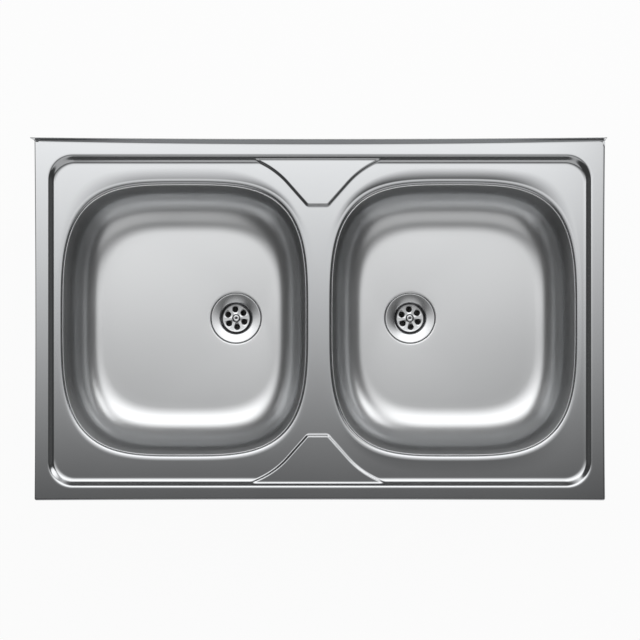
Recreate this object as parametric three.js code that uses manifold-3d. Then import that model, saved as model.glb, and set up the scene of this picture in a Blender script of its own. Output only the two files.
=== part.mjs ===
// A lay-on double bowl kitchen sink, pressed and welded from stainless steel sheet.
// Millimetres. +X runs to the right, +Y to the wall behind the sink, +Z up.
// The origin is on the flat deck in the middle of the sink, between the two bowls.
// A section is a list of [inset, height] pairs: the inset is measured inwards from an outline.

import * as THREE from "three";
import { mergeVertices } from "three/addons/utils/BufferGeometryUtils.js";
import Module from "manifold-3d";

const wasm = await Module();
wasm.setup();

// Sheet metal
const SHEET = 0.8; // deck and bowls
const GAP = 0.3; // left between neighbouring pieces
const LAP = 2; // how far one stretch of sheet runs into the next

// Rim, seen from above
const RIM_LENGTH = 800;
const RIM_DEPTH = 505;
const RIM_HEIGHT = 6.5; // rim above the recessed deck
const RIM_CORNER_RADIUS = 3;
const SIDE_BOW = 1.2; // how far the long thin edges spring inwards at mid-length
const FRONT_BOW = 1;
const BACK_BOW = 4.5;

// Edges turned down at the front and sides
const SKIRT_BOTTOM = -21.5;
const SKIRT_BEND = 1.6;
const FLANGE_WIDTH = 14; // turned inwards, rests on the cabinet

// Edge turned up at the back
const UPSTAND_HEIGHT = 14;
const UPSTAND_LEAN = 3;
const UPSTAND_BOW = 2.2;
const UPSTAND_LEFT_EAR = 4.5; // the upstand stands past the rim's ends
const UPSTAND_RIGHT_EAR = 1.5;

// Step from the rim down to the deck
const STEP_OUTER = { halfX: 382, halfY: 234, radius: 35 };
const STEP_INNER = { halfX: 370.6, halfY: 219.9, radius: 28 };
const STEP_CENTRE_Y = -1;
const STEP_HOLLOW = 0.45; // share of the step's width that curves upwards
const STEP_ROUND = 0.25; // share that curves over onto the rim

// Raised fan-shaped ledges in the middle of the back and the front
const LEDGE_HEIGHT = 2.5;
const LEDGE_CENTRE_X = -2.8;
const LEDGE_END_Y = 159;
const LEDGE_CORNER_RADIUS = 7;
const LEDGE_FLANK_DEGREES = 48.5;
const LEDGE_SWEEP_START = [43.9, 191.1]; // where the straight flank turns into the sweep
const LEDGE_SWEEP_RADIUS = 118;
const LEDGE_FLANK_WIDTH = 5;
const LEDGE_OUTER_Y = 228; // buried in the step
const LEDGE_HOLLOW_Y = 225;

// Bowl openings and bowls
const OPENING_HALF_X = 176.6;
const OPENING_HALF_Y = 195.6;
const OPENING_SQUARENESS = 3.5; // exponent of the rounded outline
const BOWL_CENTRES_X = { left: -190.2, right: 188.1 };
const BOWL_CENTRE_Y = 0.6;
const LIP_RADIUS = 4;
const LIP_BOTTOM = -10;
const BOWL_EDGE_Z = -4.2;
const WALL_DRAFT_DEGREES = 4;
const BLEND_TOP_Z = -98;
const BLEND_WIDTH_X = 40;
const BLEND_WIDTH_Y = 56;
const FLOOR_EDGE_Z = -148.5;
const FLOOR_DRAIN_Z = -150;

// Waste outlets
const DRAIN_CENTRES_X = { left: -122, right: 131.5 };
const DRAIN_CENTRE_Y = 3;
const RECESS_RADIUS = 39.5;
const SEAT_OUTER_RADIUS = 36.4;
const SEAT_HOLE_RADIUS = 26.5;
const SEAT_OUTER_Z = -154;
const SEAT_HOLE_Z = -156.4;
const FLANGE_SEAL_THICKNESS = 1.2;
const STRAINER_SHEET = 0.9;
const STRAINER_RADIUS = 35;
const STRAINER_CUP_RADIUS = 23; // at its top
const STRAINER_DISC_RADIUS = 19.6;
const STRAINER_DISC_Z = -163;
const STRAINER_HOLE_RADIUS = 4.2;
const STRAINER_HOLE_CIRCLE_RADIUS = 12.35;
const STRAINER_FIRST_HOLE_DEGREES = 96;
const STRAINER_HOLES = 6;
const SCREW_RADIUS = 2.8;
const SCREW_HOLE_RADIUS = 3.3;
const SCREW_HEAD_RADIUS = 6;
const SCREW_HEAD_HEIGHT = 2.4;
const SCREW_LENGTH = 28;
const WASTE_TOP_Z = -164.6;
const WASTE_FLANGE_RADIUS = 38;
const WASTE_FLANGE_THICKNESS = 3.5;
const WASTE_FUNNEL_RADIUS = 32;
const WASTE_MOUTH_RADIUS = 25.6;
const WASTE_NECK_Z = -192;
const WASTE_THREAD_RADIUS = 23.9; // inch and a half pipe thread
const WASTE_BORE_RADIUS = 20;
const WASTE_BOTTOM_Z = -213;
const HUB_RADIUS = 9;
const HUB_TOP_Z = -177;
const NUT_ACROSS_FLATS = 10;
const NUT_HEIGHT = 5;

// Sound-deadening pads under the bowl floors
const PAD_LENGTH = 150;
const PAD_WIDTH = 110;
const PAD_THICKNESS = 2.4;
const PAD_CORNER_RADIUS = 12;
const PAD_DISTANCE_FROM_DRAIN = 112;

// Fixing brackets that hook over the return flange
const BRACKET_SHEET = 1.5;
const BRACKET_WIDTH = 32;
const BRACKET_DROP = 46;
const BRACKET_FACE_X = 381.6; // lies against the cabinet's inner face
const BRACKET_TONGUE_END_X = 394;
const BRACKET_Y = 150;
const BRACKET_SLOT_WIDTH = 5;
const BRACKET_SLOT_LENGTH = 20;
const BRACKET_SLOT_DEGREES = 30;
const WOOD_SCREW_RADIUS = 1.75;
const WOOD_SCREW_HEAD_RADIUS = 3.6;
const WOOD_SCREW_HEAD_HEIGHT = 2;
const WOOD_SCREW_LENGTH = 15;

// Facets
const CORNER_STEPS = 5;
const LONG_SIDE_STEPS = 8;
const SHORT_SIDE_STEPS = 4;
const BOWL_POINTS = 48;
const BLEND_STEPS = 6;
const ROUND_STEPS = 32;
const SMALL_ROUND_STEPS = 16;

const radians = THREE.MathUtils.degToRad;
const lerp = THREE.MathUtils.lerp;

// ---------------------------------------------------------------- materials

function steel(color, roughness) {
  return new THREE.MeshStandardMaterial({ color, roughness, metalness: 1 });
}

const MATERIALS = {
  deckSteel: steel(0xc9cccd, 0.22),
  bowlSteel: steel(0xbfc3c5, 0.34),
  strainerSteel: steel(0xd4d6d7, 0.16),
  zincSteel: steel(0xa9adad, 0.45),
  brass: steel(0xc2a052, 0.35),
  blackRubber: new THREE.MeshStandardMaterial({ color: 0x1b1c1d, roughness: 0.85 }),
  blackPlastic: new THREE.MeshStandardMaterial({ color: 0x222324, roughness: 0.5 }),
  bitumenPad: new THREE.MeshStandardMaterial({ color: 0x3a3b3c, roughness: 0.9 }),
};

// ---------------------------------------------------------------- solids

// Joins closed loops of equal length into one skin. The loops run on from the last
// to the first when closed is true, and the first and last are capped when it isn't.
function loft(loops, closed) {
  const count = loops[0].length;
  const positions = loops.flat().flatMap((point) => [point.x, point.y, point.z]);
  const triangles = [];
  const strips = closed ? loops.length : loops.length - 1;
  for (let strip = 0; strip < strips; strip++) {
    const near = strip * count;
    const far = ((strip + 1) % loops.length) * count;
    for (let i = 0; i < count; i++) {
      const next = (i + 1) % count;
      triangles.push(near + i, near + next, far + next);
      triangles.push(near + i, far + next, far + i);
    }
  }
  if (!closed) {
    const last = (loops.length - 1) * count;
    for (const [a, b, c] of capTriangles(loops[0])) triangles.push(c, b, a);
    for (const [a, b, c] of capTriangles(loops.at(-1))) {
      triangles.push(last + a, last + b, last + c);
    }
  }
  return facingOut(positions, triangles);
}

// Triangles over a flat loop, in the loop's own plane.
function capTriangles(loop) {
  const normal = new THREE.Vector3();
  loop.forEach((point, i) => {
    normal.add(new THREE.Vector3().crossVectors(point, loop[(i + 1) % loop.length]));
  });
  const turn = new THREE.Quaternion().setFromUnitVectors(normal.normalize(), new THREE.Vector3(0, 0, 1));
  const flat = loop.map((point) => {
    const turned = point.clone().applyQuaternion(turn);
    return new THREE.Vector2(turned.x, turned.y);
  });
  return THREE.ShapeUtils.triangulateShape(flat, []);
}

function facingOut(positions, triangles) {
  const corner = (i) => new THREE.Vector3().fromArray(positions, 3 * i);
  let volume = 0;
  for (let i = 0; i < triangles.length; i += 3) {
    const [a, b, c] = triangles.slice(i, i + 3).map(corner);
    volume += a.dot(b.cross(c));
  }
  const geometry = new THREE.BufferGeometry();
  geometry.setAttribute("position", new THREE.Float32BufferAttribute(positions, 3));
  geometry.setIndex(volume < 0 ? triangles.reverse() : triangles);
  return geometry;
}

function toSolid(geometry) {
  const bare = geometry.clone();
  bare.deleteAttribute("normal");
  bare.deleteAttribute("uv");
  const merged = mergeVertices(bare, 1e-4);
  return new wasm.Manifold(
    new wasm.Mesh({
      numProp: 3,
      vertProperties: merged.attributes.position.array,
      triVerts: new Uint32Array(merged.index.array),
    }),
  );
}

function toGeometry(solid) {
  const mesh = solid.getMesh();
  const geometry = new THREE.BufferGeometry();
  geometry.setAttribute("position", new THREE.Float32BufferAttribute(mesh.vertProperties, 3));
  geometry.setIndex([...mesh.triVerts]);
  return geometry;
}

function joined(geometries) {
  return geometries.map(toSolid).reduce((whole, solid) => whole.add(solid));
}

// A solid of revolution round the Z axis from a closed [radius, height] section.
function turned(section, steps = ROUND_STEPS) {
  const points = section.map(([radius, height]) => new THREE.Vector2(radius, height));
  const onAxis = section[0][0] === 0;
  const lathe = new THREE.LatheGeometry(onAxis ? points : [...points, points[0]], steps);
  lathe.rotateX(Math.PI / 2);
  const bare = new THREE.BufferGeometry();
  bare.setAttribute("position", lathe.getAttribute("position"));
  bare.setIndex(withoutSlivers(lathe));
  const merged = mergeVertices(bare, 1e-4);
  return facingOut([...merged.attributes.position.array], [...merged.index.array]);
}

// Leaves out the triangles that shrink to a line where a section touches the axis.
function withoutSlivers(geometry) {
  const position = geometry.getAttribute("position");
  const index = [...geometry.index.array];
  const kept = [];
  for (let i = 0; i < index.length; i += 3) {
    const corners = index.slice(i, i + 3);
    const [a, b, c] = corners.map((k) => new THREE.Vector3().fromBufferAttribute(position, k));
    if (b.sub(a).cross(c.sub(a)).length() > 1e-7) kept.push(...corners);
  }
  return kept;
}

// An upright cylinder from one height to another.
function post(radius, bottom, top, steps = SMALL_ROUND_STEPS) {
  const cylinder = new THREE.CylinderGeometry(radius, radius, top - bottom, steps);
  return cylinder.rotateX(Math.PI / 2).translate(0, 0, (top + bottom) / 2);
}

// ---------------------------------------------------------------- outlines

// A rounded rectangle as 2D points, anticlockwise, with the same number of points at any size.
function roundedRectangle({ halfX, halfY, radius }, centreY = 0) {
  const corners = [[1, 1], [-1, 1], [-1, -1], [1, -1]].map(([signX, signY], corner) => {
    const centre = new THREE.Vector2(signX * (halfX - radius), signY * (halfY - radius) + centreY);
    return Array.from({ length: CORNER_STEPS + 1 }, (_, step) => {
      const angle = radians(90 * (corner + step / CORNER_STEPS));
      return new THREE.Vector2(Math.cos(angle), Math.sin(angle)).multiplyScalar(radius).add(centre);
    });
  });
  return corners.flatMap((arc, corner) => {
    const steps = corner % 2 ? SHORT_SIDE_STEPS : LONG_SIDE_STEPS;
    const from = arc.at(-1);
    const to = corners[(corner + 1) % 4][0];
    const side = Array.from({ length: steps - 1 }, (_, i) => from.clone().lerp(to, (i + 1) / steps));
    return [...arc, ...side];
  });
}

function insetRectangle({ halfX, halfY, radius }, inset) {
  const sharpest = 0.5;
  return { halfX: halfX - inset, halfY: halfY - inset, radius: Math.max(radius - inset, sharpest) };
}

// How far the sprung edges of the rim draw in at a point of the rim's outline.
function sprung(point) {
  const alongX = 1 - (point.x / (RIM_LENGTH / 2)) ** 2;
  const alongY = 1 - (point.y / (RIM_DEPTH / 2)) ** 2;
  const bowY = point.y > 0 ? BACK_BOW : -FRONT_BOW;
  return new THREE.Vector2(
    point.x - Math.sign(point.x) * SIDE_BOW * Math.max(alongY, 0),
    point.y - bowY * Math.max(alongX, 0),
  );
}

function atHeight(outline, z) {
  return outline.map((point) => new THREE.Vector3(point.x, point.y, z));
}

// The rounded-square outline of a bowl, as 3D points.
function squircle(centre, halfX, halfY, squareness, z) {
  return Array.from({ length: BOWL_POINTS }, (_, i) => {
    const angle = (2 * Math.PI * i) / BOWL_POINTS;
    const round = (value) => Math.sign(value) * Math.abs(value) ** (2 / squareness);
    return new THREE.Vector3(
      centre[0] + halfX * round(Math.cos(angle)),
      centre[1] + halfY * round(Math.sin(angle)),
      z,
    );
  });
}

function openingLoop(side, inset, z) {
  const centre = [BOWL_CENTRES_X[side], BOWL_CENTRE_Y];
  return squircle(centre, OPENING_HALF_X - inset, OPENING_HALF_Y - inset, OPENING_SQUARENESS, z);
}

// ---------------------------------------------------------------- deck

// Height of the step at a share of its width, from the deck (0) to the rim (1).
function stepHeight(share) {
  const straightEnd = 1 - STEP_ROUND;
  const slope = 1 / (1 - STEP_HOLLOW / 2 - STEP_ROUND / 2);
  const hollow = Math.min(share, STEP_HOLLOW);
  const straight = Math.min(Math.max(share - STEP_HOLLOW, 0), straightEnd - STEP_HOLLOW);
  const round = Math.max(share - straightEnd, 0);
  const rise = hollow ** 2 / (2 * STEP_HOLLOW) + straight + round - round ** 2 / (2 * STEP_ROUND);
  return RIM_HEIGHT * slope * rise;
}

function stepOutline(share) {
  const mixed = {};
  for (const key of ["halfX", "halfY", "radius"]) {
    mixed[key] = lerp(STEP_INNER[key], STEP_OUTER[key], share);
  }
  return roundedRectangle(mixed, STEP_CENTRE_Y);
}

// The flat rim and the step as one ring of sheet, with its inner edge lapping under the deck plate.
function rimRing() {
  const edge = insetRectangle({ halfX: RIM_LENGTH / 2, halfY: RIM_DEPTH / 2, radius: RIM_CORNER_RADIUS }, LAP);
  const outerEdge = roundedRectangle(edge).map(sprung);
  const lapEdge = roundedRectangle(insetRectangle(STEP_INNER, LAP), STEP_CENTRE_Y);
  const topShares = [1, 0.88, 0.75, 0.45, 0.3, 0.15, 0];
  const underShares = [0, 0.25, 0.75, 1];
  const upper = topShares.map((share) => atHeight(stepOutline(share), stepHeight(share)));
  const under = underShares.map((share) => atHeight(stepOutline(share), stepHeight(share) - SHEET));
  return loft(
    [
      atHeight(outerEdge, RIM_HEIGHT),
      ...upper,
      atHeight(lapEdge, 0),
      atHeight(lapEdge, -SHEET),
      ...under,
      atHeight(outerEdge, RIM_HEIGHT - SHEET),
    ],
    true,
  );
}

// The flat plate round the bowl openings.
function deckPlate() {
  const outline = roundedRectangle(insetRectangle(STEP_INNER, LAP / 2), STEP_CENTRE_Y);
  const shape = new THREE.Shape(outline);
  for (const side of ["left", "right"]) {
    const hole = openingLoop(side, -LAP / 2, 0).map((point) => new THREE.Vector2(point.x, point.y));
    shape.holes.push(new THREE.Path(hole));
  }
  return new THREE.ExtrudeGeometry(shape, { depth: SHEET, bevelEnabled: false }).translate(0, 0, -SHEET);
}

// The edge of an opening, rolled over and turned down round the top of its bowl.
function rolledLip(side) {
  const inner = LIP_RADIUS - SHEET;
  const slant = Math.SQRT1_2;
  const section = [
    [-LAP, 0],
    [0, 0],
    [LIP_RADIUS / 2, LIP_RADIUS * (Math.cos(radians(30)) - 1)],
    [LIP_RADIUS * Math.cos(radians(30)), -LIP_RADIUS / 2],
    [LIP_RADIUS, -LIP_RADIUS],
    [LIP_RADIUS, LIP_BOTTOM],
    [inner, LIP_BOTTOM],
    [inner, -LIP_RADIUS],
    [inner * slant, inner * slant - LIP_RADIUS],
    [0, -SHEET],
    [-LAP, -SHEET],
  ];
  return loft(section.map(([inset, z]) => openingLoop(side, inset, z)), true);
}

// Half of a ledge's outline, from the middle of its narrow end to the buried wide end.
function ledgeHalfOutline(inset, wideY) {
  const flank = radians(LEDGE_FLANK_DEGREES);
  const [startX, startY] = LEDGE_SWEEP_START;
  const sweepCentre = new THREE.Vector2(
    startX + LEDGE_SWEEP_RADIUS * Math.sin(flank),
    startY - LEDGE_SWEEP_RADIUS * Math.cos(flank),
  );
  const cornerCentreY = LEDGE_END_Y + LEDGE_CORNER_RADIUS;
  const cornerCentreX =
    startX + ((cornerCentreY - startY) * Math.cos(flank) - LEDGE_CORNER_RADIUS) / Math.sin(flank);
  const cornerSteps = [0, 0.5, 1];
  const sweepSteps = [0, 0.2, 0.4, 0.6, 0.8, 1];
  const corner = cornerSteps.map((step) => {
    const angle = flank * step;
    return new THREE.Vector2(
      cornerCentreX + (LEDGE_CORNER_RADIUS - inset) * Math.sin(angle),
      cornerCentreY - (LEDGE_CORNER_RADIUS - inset) * Math.cos(angle),
    );
  });
  const radius = LEDGE_SWEEP_RADIUS + inset;
  const wideEnd = Math.acos((wideY - sweepCentre.y) / radius);
  const sweep = sweepSteps.map((step) => {
    const angle = lerp(flank, wideEnd, step);
    return new THREE.Vector2(
      sweepCentre.x - radius * Math.sin(angle),
      sweepCentre.y + radius * Math.cos(angle),
    );
  });
  return [...corner, ...sweep];
}

function ledgeLoop(direction, inset, wideY, z) {
  const half = ledgeHalfOutline(inset, wideY);
  const mirrored = half.map((point) => new THREE.Vector2(-point.x, point.y)).reverse();
  return [...half, ...mirrored].map(
    (point) => new THREE.Vector3(LEDGE_CENTRE_X + point.x, direction * point.y, z),
  );
}

function ledgeBoss(direction) {
  return loft(
    [
      ledgeLoop(direction, 0, LEDGE_OUTER_Y, -SHEET),
      ledgeLoop(direction, 0, LEDGE_OUTER_Y, 0),
      ledgeLoop(direction, LEDGE_FLANK_WIDTH, LEDGE_OUTER_Y, LEDGE_HEIGHT),
    ],
    false,
  );
}

function ledgeHollow(direction) {
  const below = 3;
  return loft(
    [
      ledgeLoop(direction, 0, LEDGE_HOLLOW_Y, -below),
      ledgeLoop(direction, 0, LEDGE_HOLLOW_Y, -SHEET),
      ledgeLoop(direction, LEDGE_FLANK_WIDTH, LEDGE_HOLLOW_Y, LEDGE_HEIGHT - SHEET),
    ],
    false,
  );
}

// The edge turned down at the sides and the front, with its return flange.
function skirt() {
  const bend = SKIRT_BEND;
  const early = bend * 0.3;
  const section = [
    [2 * LAP, RIM_HEIGHT],
    [bend, RIM_HEIGHT],
    [early, RIM_HEIGHT - early],
    [0, RIM_HEIGHT - bend],
    [0, SKIRT_BOTTOM + bend],
    [early, SKIRT_BOTTOM + early],
    [bend, SKIRT_BOTTOM],
    [FLANGE_WIDTH, SKIRT_BOTTOM],
    [FLANGE_WIDTH, SKIRT_BOTTOM + SHEET],
    [bend, SKIRT_BOTTOM + SHEET],
    [SHEET, SKIRT_BOTTOM + bend],
    [SHEET, RIM_HEIGHT - bend],
    [bend, RIM_HEIGHT - SHEET],
    [2 * LAP, RIM_HEIGHT - SHEET],
  ];
  const rim = { halfX: RIM_LENGTH / 2, halfY: RIM_DEPTH / 2, radius: RIM_CORNER_RADIUS };
  const outlines = section.map(([inset, z]) => {
    return atHeight(roundedRectangle(insetRectangle(rim, inset)).map(sprung), z);
  });
  const first = 2 * CORNER_STEPS + LONG_SIDE_STEPS;
  const total = outlines[0].length;
  const sections = [];
  for (let i = first; i <= total; i++) {
    sections.push(outlines.map((outline) => outline[i % total]));
  }
  return loft(sections, false);
}

// The edge turned up at the back, bowed like the rim and leaning to the wall.
function upstand() {
  const stations = 12;
  const left = -RIM_LENGTH / 2 - UPSTAND_LEFT_EAR;
  const right = RIM_LENGTH / 2 + UPSTAND_RIGHT_EAR;
  const top = RIM_HEIGHT + UPSTAND_HEIGHT;
  const sections = Array.from({ length: stations + 1 }, (_, i) => {
    const x = lerp(left, right, i / stations);
    const bow = Math.max(1 - (x / (RIM_LENGTH / 2)) ** 2, 0);
    const foot = RIM_DEPTH / 2 - BACK_BOW * bow;
    const head = RIM_DEPTH / 2 + UPSTAND_LEAN - UPSTAND_BOW * bow;
    return [
      [foot - LAP - SHEET, RIM_HEIGHT - SHEET],
      [foot - SHEET / 2, RIM_HEIGHT - SHEET],
      [head, top],
      [head - SHEET, top],
      [foot - 2 * SHEET, RIM_HEIGHT],
      [foot - LAP - SHEET, RIM_HEIGHT],
    ].map(([y, z]) => new THREE.Vector3(x, y, z));
  });
  return loft(sections, false);
}

function deck() {
  const sheets = [rimRing(), deckPlate(), rolledLip("left"), rolledLip("right"), skirt(), upstand()];
  const bosses = [ledgeBoss(1), ledgeBoss(-1)];
  const hollows = joined([ledgeHollow(1), ledgeHollow(-1)]);
  return toGeometry(joined([...sheets, ...bosses]).subtract(hollows));
}

// ---------------------------------------------------------------- bowls

// The bowl's inner surface from its top edge to the waste hole. Tilt is the direction of
// the surface's outward normal below the horizontal: 0 on a wall and 90 on the floor.
function bowlStations(side) {
  const centre = [BOWL_CENTRES_X[side], BOWL_CENTRE_Y];
  const drain = [DRAIN_CENTRES_X[side], DRAIN_CENTRE_Y];
  const edgeInset = LIP_RADIUS + GAP + SHEET;
  const draft = (BOWL_EDGE_Z - BLEND_TOP_Z) * Math.tan(radians(WALL_DRAFT_DEGREES));
  const wallX = OPENING_HALF_X - edgeInset - draft;
  const wallY = OPENING_HALF_Y - edgeInset - draft;
  const stations = [
    {
      centre,
      halfX: OPENING_HALF_X - edgeInset,
      halfY: OPENING_HALF_Y - edgeInset,
      squareness: OPENING_SQUARENESS,
      z: BOWL_EDGE_Z,
      tilt: 0,
    },
  ];
  for (let step = 0; step <= BLEND_STEPS; step++) {
    const tilt = (90 * step) / BLEND_STEPS;
    const drawnIn = 1 - Math.cos(radians(tilt));
    stations.push({
      centre,
      halfX: wallX - BLEND_WIDTH_X * drawnIn,
      halfY: wallY - BLEND_WIDTH_Y * drawnIn,
      squareness: OPENING_SQUARENESS,
      z: BLEND_TOP_Z - (BLEND_TOP_Z - FLOOR_EDGE_Z) * Math.sin(radians(tilt)),
      tilt,
    });
  }
  const recess = [
    [RECESS_RADIUS, FLOOR_DRAIN_Z, 90],
    [RECESS_RADIUS - 1.3, FLOOR_DRAIN_Z - 0.5, 60],
    [SEAT_OUTER_RADIUS + 0.5, FLOOR_DRAIN_Z - 2.2, 20],
    [SEAT_OUTER_RADIUS, SEAT_OUTER_Z, 45],
    [SEAT_HOLE_RADIUS, SEAT_HOLE_Z, 76],
  ];
  for (const [radius, z, tilt] of recess) {
    stations.push({ centre: drain, halfX: radius, halfY: radius, squareness: 2, z, tilt });
  }
  return stations;
}

function bowl(side) {
  const stations = bowlStations(side);
  const inner = stations.map(({ centre, halfX, halfY, squareness, z }) => {
    return squircle(centre, halfX, halfY, squareness, z);
  });
  const outer = stations.map(({ centre, halfX, halfY, squareness, z, tilt }) => {
    const out = SHEET * Math.cos(radians(tilt));
    const down = SHEET * Math.sin(radians(tilt));
    return squircle(centre, halfX + out, halfY + out, squareness, z - down);
  });
  return loft([...inner, ...outer.reverse()], true);
}

// ---------------------------------------------------------------- waste outlets

// Height of the bowl's conical seat at a radius from the drain's centre.
function seatHeight(radius) {
  const fall = (SEAT_OUTER_Z - SEAT_HOLE_Z) / (SEAT_OUTER_RADIUS - SEAT_HOLE_RADIUS);
  return SEAT_OUTER_Z - fall * (SEAT_OUTER_RADIUS - radius);
}

function flangeSeal() {
  const outer = STRAINER_RADIUS - 1;
  const inner = SEAT_HOLE_RADIUS + 1;
  const top = GAP + FLANGE_SEAL_THICKNESS;
  return turned([
    [inner, seatHeight(inner) + GAP],
    [outer, seatHeight(outer) + GAP],
    [outer, seatHeight(outer) + top],
    [inner, seatHeight(inner) + top],
  ]);
}

// The dished strainer: a cone on the seal, a tapered cup through the hole and a pierced disc.
function strainerFlange() {
  const lift = 2 * GAP + FLANGE_SEAL_THICKNESS;
  const under = (radius) => seatHeight(radius) + lift;
  const over = (radius) => under(radius) + STRAINER_SHEET;
  const shoulder = STRAINER_CUP_RADIUS + 0.8;
  const section = [
    [SCREW_HOLE_RADIUS, STRAINER_DISC_Z],
    [STRAINER_DISC_RADIUS, STRAINER_DISC_Z],
    [STRAINER_CUP_RADIUS, over(shoulder) - 0.8],
    [shoulder, over(shoulder)],
    [STRAINER_RADIUS, over(STRAINER_RADIUS)],
    [STRAINER_RADIUS, under(STRAINER_RADIUS)],
    [shoulder + 0.6, under(shoulder + 0.6)],
    [STRAINER_DISC_RADIUS + 0.5, STRAINER_DISC_Z - STRAINER_SHEET],
    [SCREW_HOLE_RADIUS, STRAINER_DISC_Z - STRAINER_SHEET],
  ];
  let solid = toSolid(turned(section));
  for (let hole = 0; hole < STRAINER_HOLES; hole++) {
    const angle = radians(STRAINER_FIRST_HOLE_DEGREES + (360 * hole) / STRAINER_HOLES);
    const cutter = post(STRAINER_HOLE_RADIUS, STRAINER_DISC_Z - 3, STRAINER_DISC_Z + 3).translate(
      STRAINER_HOLE_CIRCLE_RADIUS * Math.cos(angle),
      STRAINER_HOLE_CIRCLE_RADIUS * Math.sin(angle),
      0,
    );
    solid = solid.subtract(toSolid(cutter));
  }
  return toGeometry(solid);
}

// The screw that clamps the strainer to the waste body: a domed head with a dimple.
function strainerScrew() {
  const seat = STRAINER_DISC_Z + GAP;
  const top = seat + SCREW_HEAD_HEIGHT;
  return turned(
    [
      [0, top - 1],
      [1.4, top - 0.8],
      [1.9, top],
      [4, top - 0.2],
      [SCREW_HEAD_RADIUS, seat + 0.9],
      [SCREW_HEAD_RADIUS, seat],
      [SCREW_RADIUS, seat],
      [SCREW_RADIUS, seat - SCREW_LENGTH + 1],
      [SCREW_RADIUS - 1, seat - SCREW_LENGTH],
      [0, seat - SCREW_LENGTH],
    ],
    SMALL_ROUND_STEPS,
  );
}

// The tapered rubber ring between the bowl's underside and the waste body.
function lowerSeal() {
  const outer = SEAT_OUTER_RADIUS - 1;
  const inner = SEAT_HOLE_RADIUS + 1;
  const bottom = WASTE_TOP_Z + GAP;
  const clearance = 1.2 * SHEET + GAP;
  return turned([
    [inner, bottom],
    [outer, bottom],
    [outer, seatHeight(outer) - clearance],
    [inner, seatHeight(inner) - clearance],
  ]);
}

// The moulded waste body: a flanged funnel, a threaded neck and a ribbed hub for the nut.
function wasteBody() {
  const funnelBottom = WASTE_NECK_Z + 6;
  const funnel = turned([
    [WASTE_MOUTH_RADIUS, WASTE_TOP_Z],
    [WASTE_FLANGE_RADIUS, WASTE_TOP_Z],
    [WASTE_FLANGE_RADIUS, WASTE_TOP_Z - WASTE_FLANGE_THICKNESS],
    [WASTE_FUNNEL_RADIUS, WASTE_TOP_Z - WASTE_FLANGE_THICKNESS],
    [WASTE_FUNNEL_RADIUS - 1.5, funnelBottom],
    [WASTE_THREAD_RADIUS + 1, WASTE_NECK_Z],
    [WASTE_THREAD_RADIUS, WASTE_NECK_Z],
    [WASTE_THREAD_RADIUS, WASTE_BOTTOM_Z],
    [WASTE_BORE_RADIUS, WASTE_BOTTOM_Z],
    [WASTE_BORE_RADIUS, WASTE_NECK_Z],
    [WASTE_MOUTH_RADIUS + 2, funnelBottom + 2],
  ]);
  const ribHeight = HUB_TOP_Z - WASTE_NECK_Z;
  const ribLength = WASTE_MOUTH_RADIUS + 4;
  const ribThickness = 2.6;
  let solid = toSolid(funnel).add(toSolid(post(HUB_RADIUS, WASTE_NECK_Z, HUB_TOP_Z)));
  for (const degrees of [90, 210, 330]) {
    const rib = new THREE.BoxGeometry(ribLength, ribThickness, ribHeight - 4);
    rib.translate(ribLength / 2, 0, (HUB_TOP_Z + WASTE_NECK_Z) / 2 + 1).rotateZ(radians(degrees));
    solid = solid.add(toSolid(rib));
  }
  const pocketRadius = NUT_ACROSS_FLATS / 2 / Math.cos(radians(30)) + GAP;
  const pocket = post(pocketRadius, HUB_TOP_Z - NUT_HEIGHT - GAP, HUB_TOP_Z + 1, 6);
  const shaft = post(SCREW_HOLE_RADIUS, WASTE_NECK_Z - 1, HUB_TOP_Z);
  return toGeometry(solid.subtract(toSolid(pocket)).subtract(toSolid(shaft)));
}

function insertNut() {
  const cornerRadius = NUT_ACROSS_FLATS / 2 / Math.cos(radians(30));
  const bottom = HUB_TOP_Z - NUT_HEIGHT;
  const hexagon = toSolid(post(cornerRadius, bottom, HUB_TOP_Z, 6));
  return toGeometry(hexagon.subtract(toSolid(post(SCREW_HOLE_RADIUS - GAP / 2, bottom - 1, HUB_TOP_Z + 1))));
}

// ---------------------------------------------------------------- pads and brackets

function soundPad() {
  const shape = new THREE.Shape();
  const halfX = PAD_WIDTH / 2;
  const halfY = PAD_LENGTH / 2;
  const radius = PAD_CORNER_RADIUS;
  shape.absarc(halfX - radius, halfY - radius, radius, 0, Math.PI / 2);
  shape.absarc(radius - halfX, halfY - radius, radius, Math.PI / 2, Math.PI);
  shape.absarc(radius - halfX, radius - halfY, radius, Math.PI, 1.5 * Math.PI);
  shape.absarc(halfX - radius, radius - halfY, radius, 1.5 * Math.PI, 2 * Math.PI);
  return new THREE.ExtrudeGeometry(shape, { depth: PAD_THICKNESS, bevelEnabled: false, curveSegments: 5 });
}

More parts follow.
